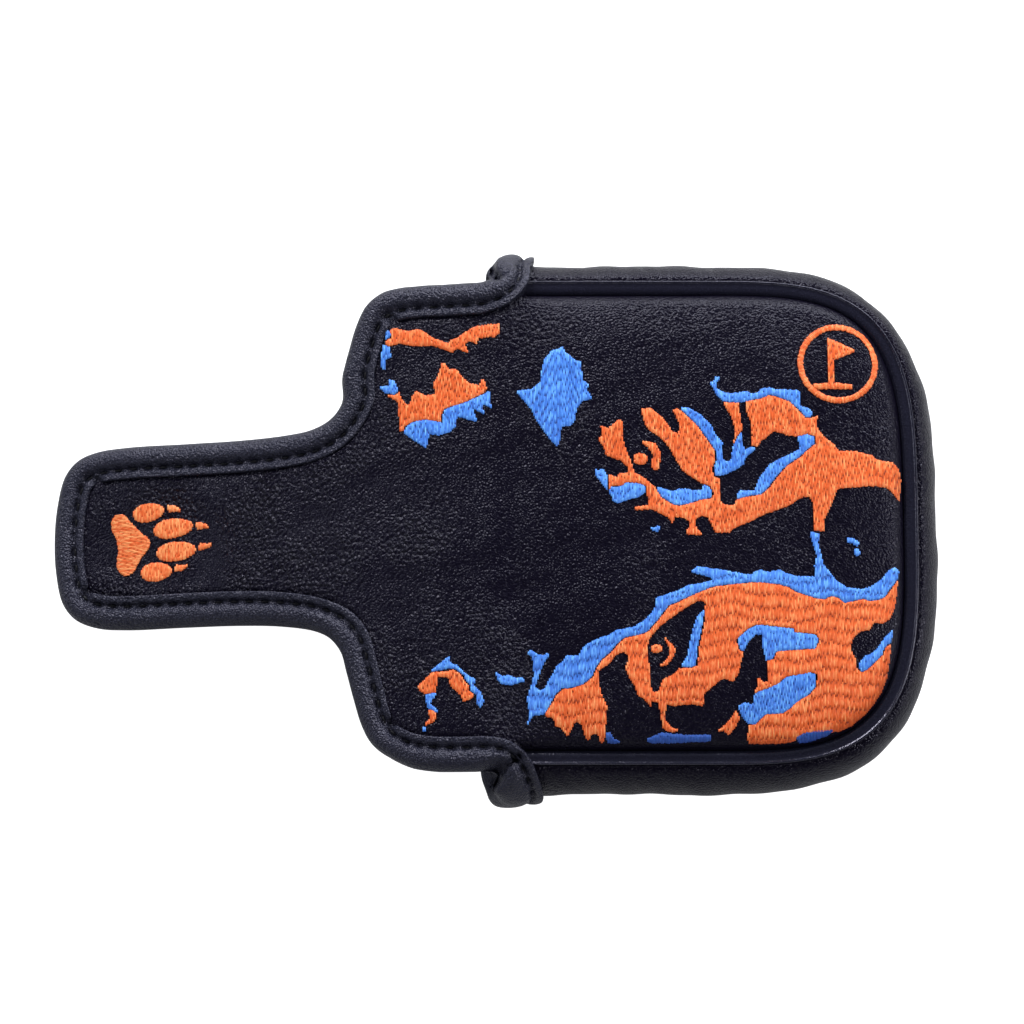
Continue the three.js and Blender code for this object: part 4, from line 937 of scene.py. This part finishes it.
THREAD_SECTION = np.array([(-1, -0.35), (-0.72, 0.45), (0, 1), (0.72, 0.45), (1, -0.35)])
SECTION_SHADE = np.array([0.6, 0.88, 1.0, 0.88, 0.6])  # painted shade and highlight: each thread is drawn lighter along its crown and darker towards the gaps between threads


def painted_front_shade(x, y):
    """Painted shade: threads are drawn darker where they run down to the piping at the front, where the slope
    turns away from the light.
    """
    near = 1 - smoothstep(seam_distance(x, y, FIELD_INSET), 0, 4)
    return 1 - 0.5 * near * smoothstep(-y, 15, 45)


def thread_stitch(start, end, shade, sunk_start, sunk_end):
    """Points and shades of one raised stitch lying on the leather between two plan points."""
    t = np.linspace(0, 1, STITCH_STATIONS)
    line = start + (end - start) * t[:, None]
    along = unit(end - start)
    side = np.array([along[1], -along[0]])
    arch = np.sin(math.pi * np.clip(t, 0.0, 1.0)) ** 0.45
    edge = np.where(t < 0.5, sunk_start[0], sunk_end[0])
    dark = np.where(t < 0.5, sunk_start[1], sunk_end[1])
    lift = 0.2 + THREAD_RISE * (1 - edge * (1 - arch))
    plan = line[:, None] + side * THREAD_SECTION[None, :, :1] * THREAD_WIDTH / 2
    base = tucked_height(line[:, 0], line[:, 1])[:, None]
    z = base + lift[:, None] * (0.55 + 0.45 * THREAD_SECTION[None, :, 1])
    # Painted shade: each station is drawn darker towards a sunk stitch end and, below, near the front piping;
    # the random factor varies the thread's tone along it.
    lit = shade * (1 - dark * (1 - arch)) * np.array([random.uniform(0.74, 1.05) for _ in t])
    shades = (lit * painted_front_shade(line[:, 0], line[:, 1]))[:, None] * SECTION_SHADE
    return np.dstack([plan, z]).reshape(-1, 3), shades.ravel()


# Stitch ends as how deep they go and how dark they are drawn, the dark being painted shade at the needle
# holes: at a field's border, and inside it.
BORDER_END = (1.0, 0.15)
INNER_ENDS = ((0.35, 0.2), (0.5, 0.45), (0.65, 0.7), (0.85, 0.95))
SATIN_ENDS = ((0.3, 0.1), (0.4, 0.25), (0.5, 0.5))


def brick_phase(k, start):
    """Where the first needle point falls, as a share of a stitch: scattered over the threads."""
    return (k * 0.382 + random.uniform(-0.2, 0.2)) % 1


def band_phase(k, start):
    """The same for a field whose needle points lie in wavy bands."""
    wave = 0.22 * math.sin(start[0] / 4.3) + 0.13 * math.sin(start[0] / 1.9 + 1)
    return (wave - start[1] / STITCH + 0.12 * (k % 3) + random.uniform(-0.06, 0.06)) % 1


def sew_runs(runs, phase=brick_phase, ends=INNER_ENDS, tone=1.0):
    """Turns runs of thread into stitches."""
    points, shades, faces = [], [], []
    count = 0
    for k, start, end in runs:
        length = float(np.linalg.norm(end - start))
        if length < SHORTEST_RUN:
            continue
        way = (end - start) / length
        start = start - way * random.uniform(0.05, 0.3)
        end = end + way * random.uniform(0.05, 0.3)
        length = float(np.linalg.norm(end - start))
        first = phase(k, start) * STITCH
        inner = [c + random.uniform(-0.22, 0.22) for c in np.arange(first, length, STITCH)]
        cuts = [0.0, *(c for c in inner if SHORTEST_STITCH < c < length - SHORTEST_STITCH), length]
        thread = random.uniform(0.88, 1.0)
        for i in range(len(cuts) - 1):
            sunk = [BORDER_END if j in (0, len(cuts) - 1) else random.choice(ends) for j in (i, i + 1)]
            shade = tone * thread * random.uniform(0.78, 1.08)
            p, s = thread_stitch(start + way * cuts[i], start + way * cuts[i + 1], shade, *sunk)
            faces += grid_faces(STITCH_STATIONS, len(THREAD_SECTION), start=count)
            points.append(p)
            shades.append(s)
            count += len(p)
    return np.vstack(points), np.concatenate(shades), faces


FIELD_PHASES = {"face_cheek_orange": band_phase, "face_sweep_blue": band_phase}


def add_embroidery(name, runs, material, slot, body, nodes=(), **look):
    points, shades, faces = sew_runs(runs, **look)
    piece = add_mesh(name, points, faces, material, slot, {"shade": shades}, away_from=UNDER)
    if nodes:
        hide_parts(*nodes)
    near_fold = np.abs(points[:, 0] - FOLD_X).min() < FOLD_ZONE
    if near_fold:
        at_mouth_fold(piece)
    else:
        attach(piece, body)


def node_look(name):
    """Material and slot of an embroidered node."""
    return (BLUE, "blue_thread") if name.endswith("_blue") else (ORANGE, "orange_thread")


# Direction of the fill in each field, in degrees from straight across the cover.
FILL_ANGLES = {
    "face_cheek_orange": 2, "face_sweep_blue": -3, "face_brow_orange": 1, "face_diagonal_blue": 4,
    "paw_pad": -84, "flap_stripe_top_orange": 0,
}


def add_fields():
    bodies = frame["record"]["behaviour"]["bodies"]
    for body, nodes in bodies.items():
        for name in nodes:
            if not name.startswith(("face_", "flap_stripe", "flap_low", "flap_drop", "paw_", "emblem_flag")):
                continue
            material, slot = node_look(name)
            angle = math.radians(FILL_ANGLES.get(name, 0))
            runs = fill_lines(node_region(name), angle, THREAD_PITCH)
            look = {"phase": FIELD_PHASES.get(name, brick_phase)}
            if name.startswith("paw_"):
                look.update(ends=SATIN_ENDS, tone=1.12)
            add_embroidery(f"{name}_stitches", runs, material, slot, body, (name,), **look)


# Small accents of the face that are too small to be nodes.
PUPIL_UPPER = (37.7, 14.9, 1.8, 1.35)
PUPIL_LOWER = (41.5, -33.4, 1.45, 0.9)
BLUE_ACCENTS = {
    "cheek_spark": [
        (26.1, 12.7), (27, 11.7), (27.4, 12.2), (28.4, 12.1), (29.2, 10.6), (29.2, 7.2), (27.7, 9.1),
        (26.5, 10.7),
    ],
    "nose_fleck": [(39.7, -2.6), (40.9, -2.9), (41.9, -2.4), (42.6, -2.6), (42.1, -3.7), (40.7, -3.2)],
    "tail_fleck_1": [(90.2, -5.4), (91.3, -5.4), (93.2, -6.5), (92.5, -7.3), (91.3, -6.5), (90.2, -6.4)],
    "tail_fleck_2": [(92.5, -7.9), (93.5, -9.2), (92.5, -9.8), (91.6, -9.3), (91.9, -8.4)],
    "jaw_edge": [
        (39, -56.3), (41, -55.3), (43, -54.5), (46, -54.9), (50, -55.2), (55, -55), (55, -56.4),
        (45, -56.9), (40, -56.8),
    ],
    "cheek_edge": [
        (76.6, -55.6), (79.1, -54.3), (82.4, -53.6), (86.2, -53.7), (84.4, -55.0), (80.5, -56.4),
        (77.5, -56.8),
    ],
    "jaw_tip": [(28.6, -54.6), (29.8, -54.6), (30.7, -56.1), (32.9, -56.9), (29.2, -56.9)],
    "mouth_crescent": [
        (0.8, -38.7), (1.5, -39.8), (3, -40.4), (4, -40), (5.9, -40.7), (7.7, -40.6), (8.2, -41.4),
        (4.6, -42.4), (2.4, -42), (1.4, -40.9),
    ],
    "corner_blue": [
        (-29, 34.8), (-26.5, 34.9), (-26.4, 36.4), (-25.3, 36.4), (-24.2, 33.8), (-24.9, 32.8),
        (-27.5, 33.4),
    ],
    "edge_blue": [
        (-28, 45.8), (-26.5, 45), (-26.5, 43.8), (-25.7, 42.7), (-27.3, 42), (-27.3, 39.4), (-28.2, 39.4),
        (-28.8, 40.8), (-28.7, 42.7),
    ],
    "edge_blue_upper": [(-27.4, 49.5), (-26.4, 49.1), (-25.8, 48.2), (-27.7, 47.1)],
    "drop_blue": [
        (-16.9, -44.7), (-14.2, -44.4), (-14.3, -45.4), (-15.3, -45.9), (-15.5, -47.2), (-13.9, -48.4),
        (-13.8, -49.2), (-16, -48.1), (-16.8, -45.9),
    ],
    "drop_tip_blue": [(-17.4, -53), (-16.3, -53), (-16.8, -53.8), (-17.6, -53.8)],
}
SHADED_ACCENTS = ("jaw_edge", "jaw_tip", "cheek_edge")  # painted shade: these accents are drawn darker as they tuck in beside the piping
WHISKER = [
    (61.4, -49.1), (62.4, -50.7), (61.3, -52.9), (59.7, -54.9), (58.4, -53.8), (56.1, -54.3),
    (58.1, -53.2), (60, -51.3),
]

# The stripe's end that runs on into the fold of the flap.
STRIPE_TAIL = [(-0.2, 50.0), (1.9, 50.2), (1.7, 49.2), (2.05, 48.0), (1.2, 47.7), (0.8, 47.0), (-0.2, 46.8)]


def oval(x, y, a, b):
    turns = np.linspace(0, 2 * math.pi, 24, endpoint=False)
    return [(x + a * math.cos(t), y + b * math.sin(t)) for t in turns]


def add_accents():
    orange = {
        "pupil_upper": oval(*PUPIL_UPPER), "pupil_lower": oval(*PUPIL_LOWER), "whisker_orange": WHISKER,
        "stripe_tail": STRIPE_TAIL,
    }
    for name, outline in orange.items():
        runs = fill_lines(outline_region(outline), 0, THREAD_PITCH)
        add_embroidery(f"{name}_stitches", runs, ORANGE, "orange_thread", "pouch")
    for name, outline in BLUE_ACCENTS.items():
        runs = fill_lines(outline_region(outline), 0, THREAD_PITCH)
        # Painted shade: the accents beside the piping are drawn at 0.4 of their tone.
        tone = 0.4 if name in SHADED_ACCENTS else 1.0
        body = "pouch" if outline[0][0] > FOLD_X else "flap"
        add_embroidery(f"{name}_stitches", runs, BLUE, "blue_thread", body, tone=tone)


def add_emblem_ring():
    """The ring's satin stitches run across its rim."""
    low, high = (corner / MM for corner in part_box("emblem_ring"))
    cx, cy = (low[0] + high[0]) / 2, (low[1] + high[1]) / 2
    outer = (high[0] - low[0]) / 2
    inner = outer - 1.15
    count = int(2 * math.pi * outer / THREAD_PITCH)
    runs = []
    for k in range(count):
        way = np.array([math.cos(2 * math.pi * k / count), math.sin(2 * math.pi * k / count)])
        runs.append((k, np.array([cx, cy]) + way * inner, np.array([cx, cy]) + way * outer))
    add_embroidery("emblem_ring_stitches", runs, ORANGE, "orange_thread", "pouch", ("emblem_ring",))


# ---------- what isn't seen ----------
def dress_magnets():
    steel = new_material("magnet_nickel", (0.6, 0.6, 0.62), 0.3, Metallic=1.0)
    grain = add_node(steel, "ShaderNodeTexNoise", Scale=900, Detail=4)
    join(steel, object_coordinates(steel), grain.inputs["Vector"])
    add_bump(steel, grain.outputs["Fac"], 0.00003, 0.4)
    for name, node in frame["nodes"].items():
        if "magnet" in name:
            node.data.materials.clear()
            node.data.materials.append(steel)


# ---------- stage ----------
AIM = (5.12, 4.3, 17.0)  # the camera's values are in millimetres, those of the floor and lights in metres
CAMERA_TILT = math.radians(8)
CAMERA_DISTANCE = 800.0
CAMERA_LENS = 108.0
FLOOR_REACH, FLOOR_Z = 3, -0.0005

# Lights: place, size, power and colour.
LIGHTS = {
    "key": ((-0.3, 0.75, 0.62), (0.32, 0.32), 8, (1, 1, 1)),
    "back_strip": ((0.45, 0.85, 0.4), (0.7, 0.14), 6.5, (0.92, 0.95, 1)),
    "rim_strip": ((0.1, 1.1, 0.13), (1.6, 0.2), 7, (0.96, 0.98, 1)),
    "right_strip": ((0.85, -0.1, 0.5), (0.2, 0.5), 5, (1, 1, 1)),
    "left_strip": ((-0.9, 0.1, 0.55), (0.3, 0.6), 2, (0.9, 0.94, 1)),
    "front_strip": ((-0.2, -0.85, 0.6), (0.8, 0.3), 1.4, (1, 1, 1)),
}


def add_camera():
    back = Vector((0, -math.sin(CAMERA_TILT), math.cos(CAMERA_TILT)))
    up = Vector((0, math.cos(CAMERA_TILT), math.sin(CAMERA_TILT)))
    right = Vector((1, 0, 0))
    data = bpy.data.cameras.new("camera")
    data.lens, data.sensor_width = CAMERA_LENS, 36
    camera = bpy.data.objects.new("camera", data)
    place = (Vector(AIM) + back * CAMERA_DISTANCE) * MM
    turn = Matrix((right, up, back)).transposed().to_4x4()
    camera.matrix_world = Matrix.Translation(place) @ turn
    bpy.context.scene.collection.objects.link(camera)
    bpy.context.scene.camera = camera


def add_area_light(name, place, size, power, color):
    data = bpy.data.lights.new(name, "AREA")
    data.shape, data.size, data.size_y = "RECTANGLE", size[0], size[1]
    data.energy, data.color = power, color
    light = bpy.data.objects.new(name, data)
    light.location = place
    light.rotation_euler = (-Vector(place)).to_track_quat("-Z", "Y").to_euler()
    bpy.context.scene.collection.objects.link(light)


def add_stage():
    mesh = bpy.data.meshes.new("floor")
    corners = [(x * FLOOR_REACH, y * FLOOR_REACH, FLOOR_Z) for x, y in ((-1, -1), (1, -1), (1, 1), (-1, 1))]
    mesh.from_pydata(corners, [], [(0, 1, 2, 3)])
    white = new_material("floor_white", (0.5, 0.5, 0.5), 0.9, Emission_Color=(1, 1, 1, 1))
    seen = add_node(white, "ShaderNodeLightPath").outputs["Is Camera Ray"]
    join(white, seen, white.node_tree.nodes["Principled BSDF"].inputs["Emission Strength"])
    mesh.materials.append(white)
    floor = bpy.data.objects.new("floor", mesh)
    bpy.context.scene.collection.objects.link(floor)
    add_sky()
    bpy.context.scene.view_settings.view_transform = "Standard"
    for name, light in LIGHTS.items():
        add_area_light(name, *light)


def add_sky():
    """A studio that is bright near the horizon behind the cover and dark overhead and in front."""
    world = bpy.data.worlds.new("studio")
    world.use_nodes = True
    tree = world.node_tree
    direction = tree.nodes.new("ShaderNodeTexCoord")
    fall = tree.nodes.new("ShaderNodeVectorMath")
    fall.operation = "DOT_PRODUCT"
    fall.inputs[1].default_value = (0, -0.5, 0.85)
    ramp = tree.nodes.new("ShaderNodeValToRGB")
    ramp.color_ramp.elements[0].color = (0.74, 0.8, 0.95, 1)
    ramp.color_ramp.elements[1].color = (0.1, 0.1, 0.12, 1)
    ramp.color_ramp.elements[1].position = 0.75
    tree.links.new(direction.outputs["Generated"], fall.inputs[0])
    tree.links.new(fall.outputs["Value"], ramp.inputs["Fac"])
    tree.links.new(ramp.outputs["Color"], tree.nodes["Background"].inputs["Color"])
    tree.nodes["Background"].inputs["Strength"].default_value = 0.6
    bpy.context.scene.world = world


add_stage()
add_camera()
add_top_leather()
add_binding()
add_binding_sewing()
add_gusset()
add_piping("top_piping_leather", "top_piping", SEAM_INSET, SEAM_Z, 7.0)
add_piping("bottom_piping_leather", "bottom_piping", BASE_SEAM_INSET, BASE_SEAM_Z, 5)
add_base()
add_pouch_lining()
add_flap_lining()
add_fields()
add_accents()
add_emblem_ring()
dress_magnets()
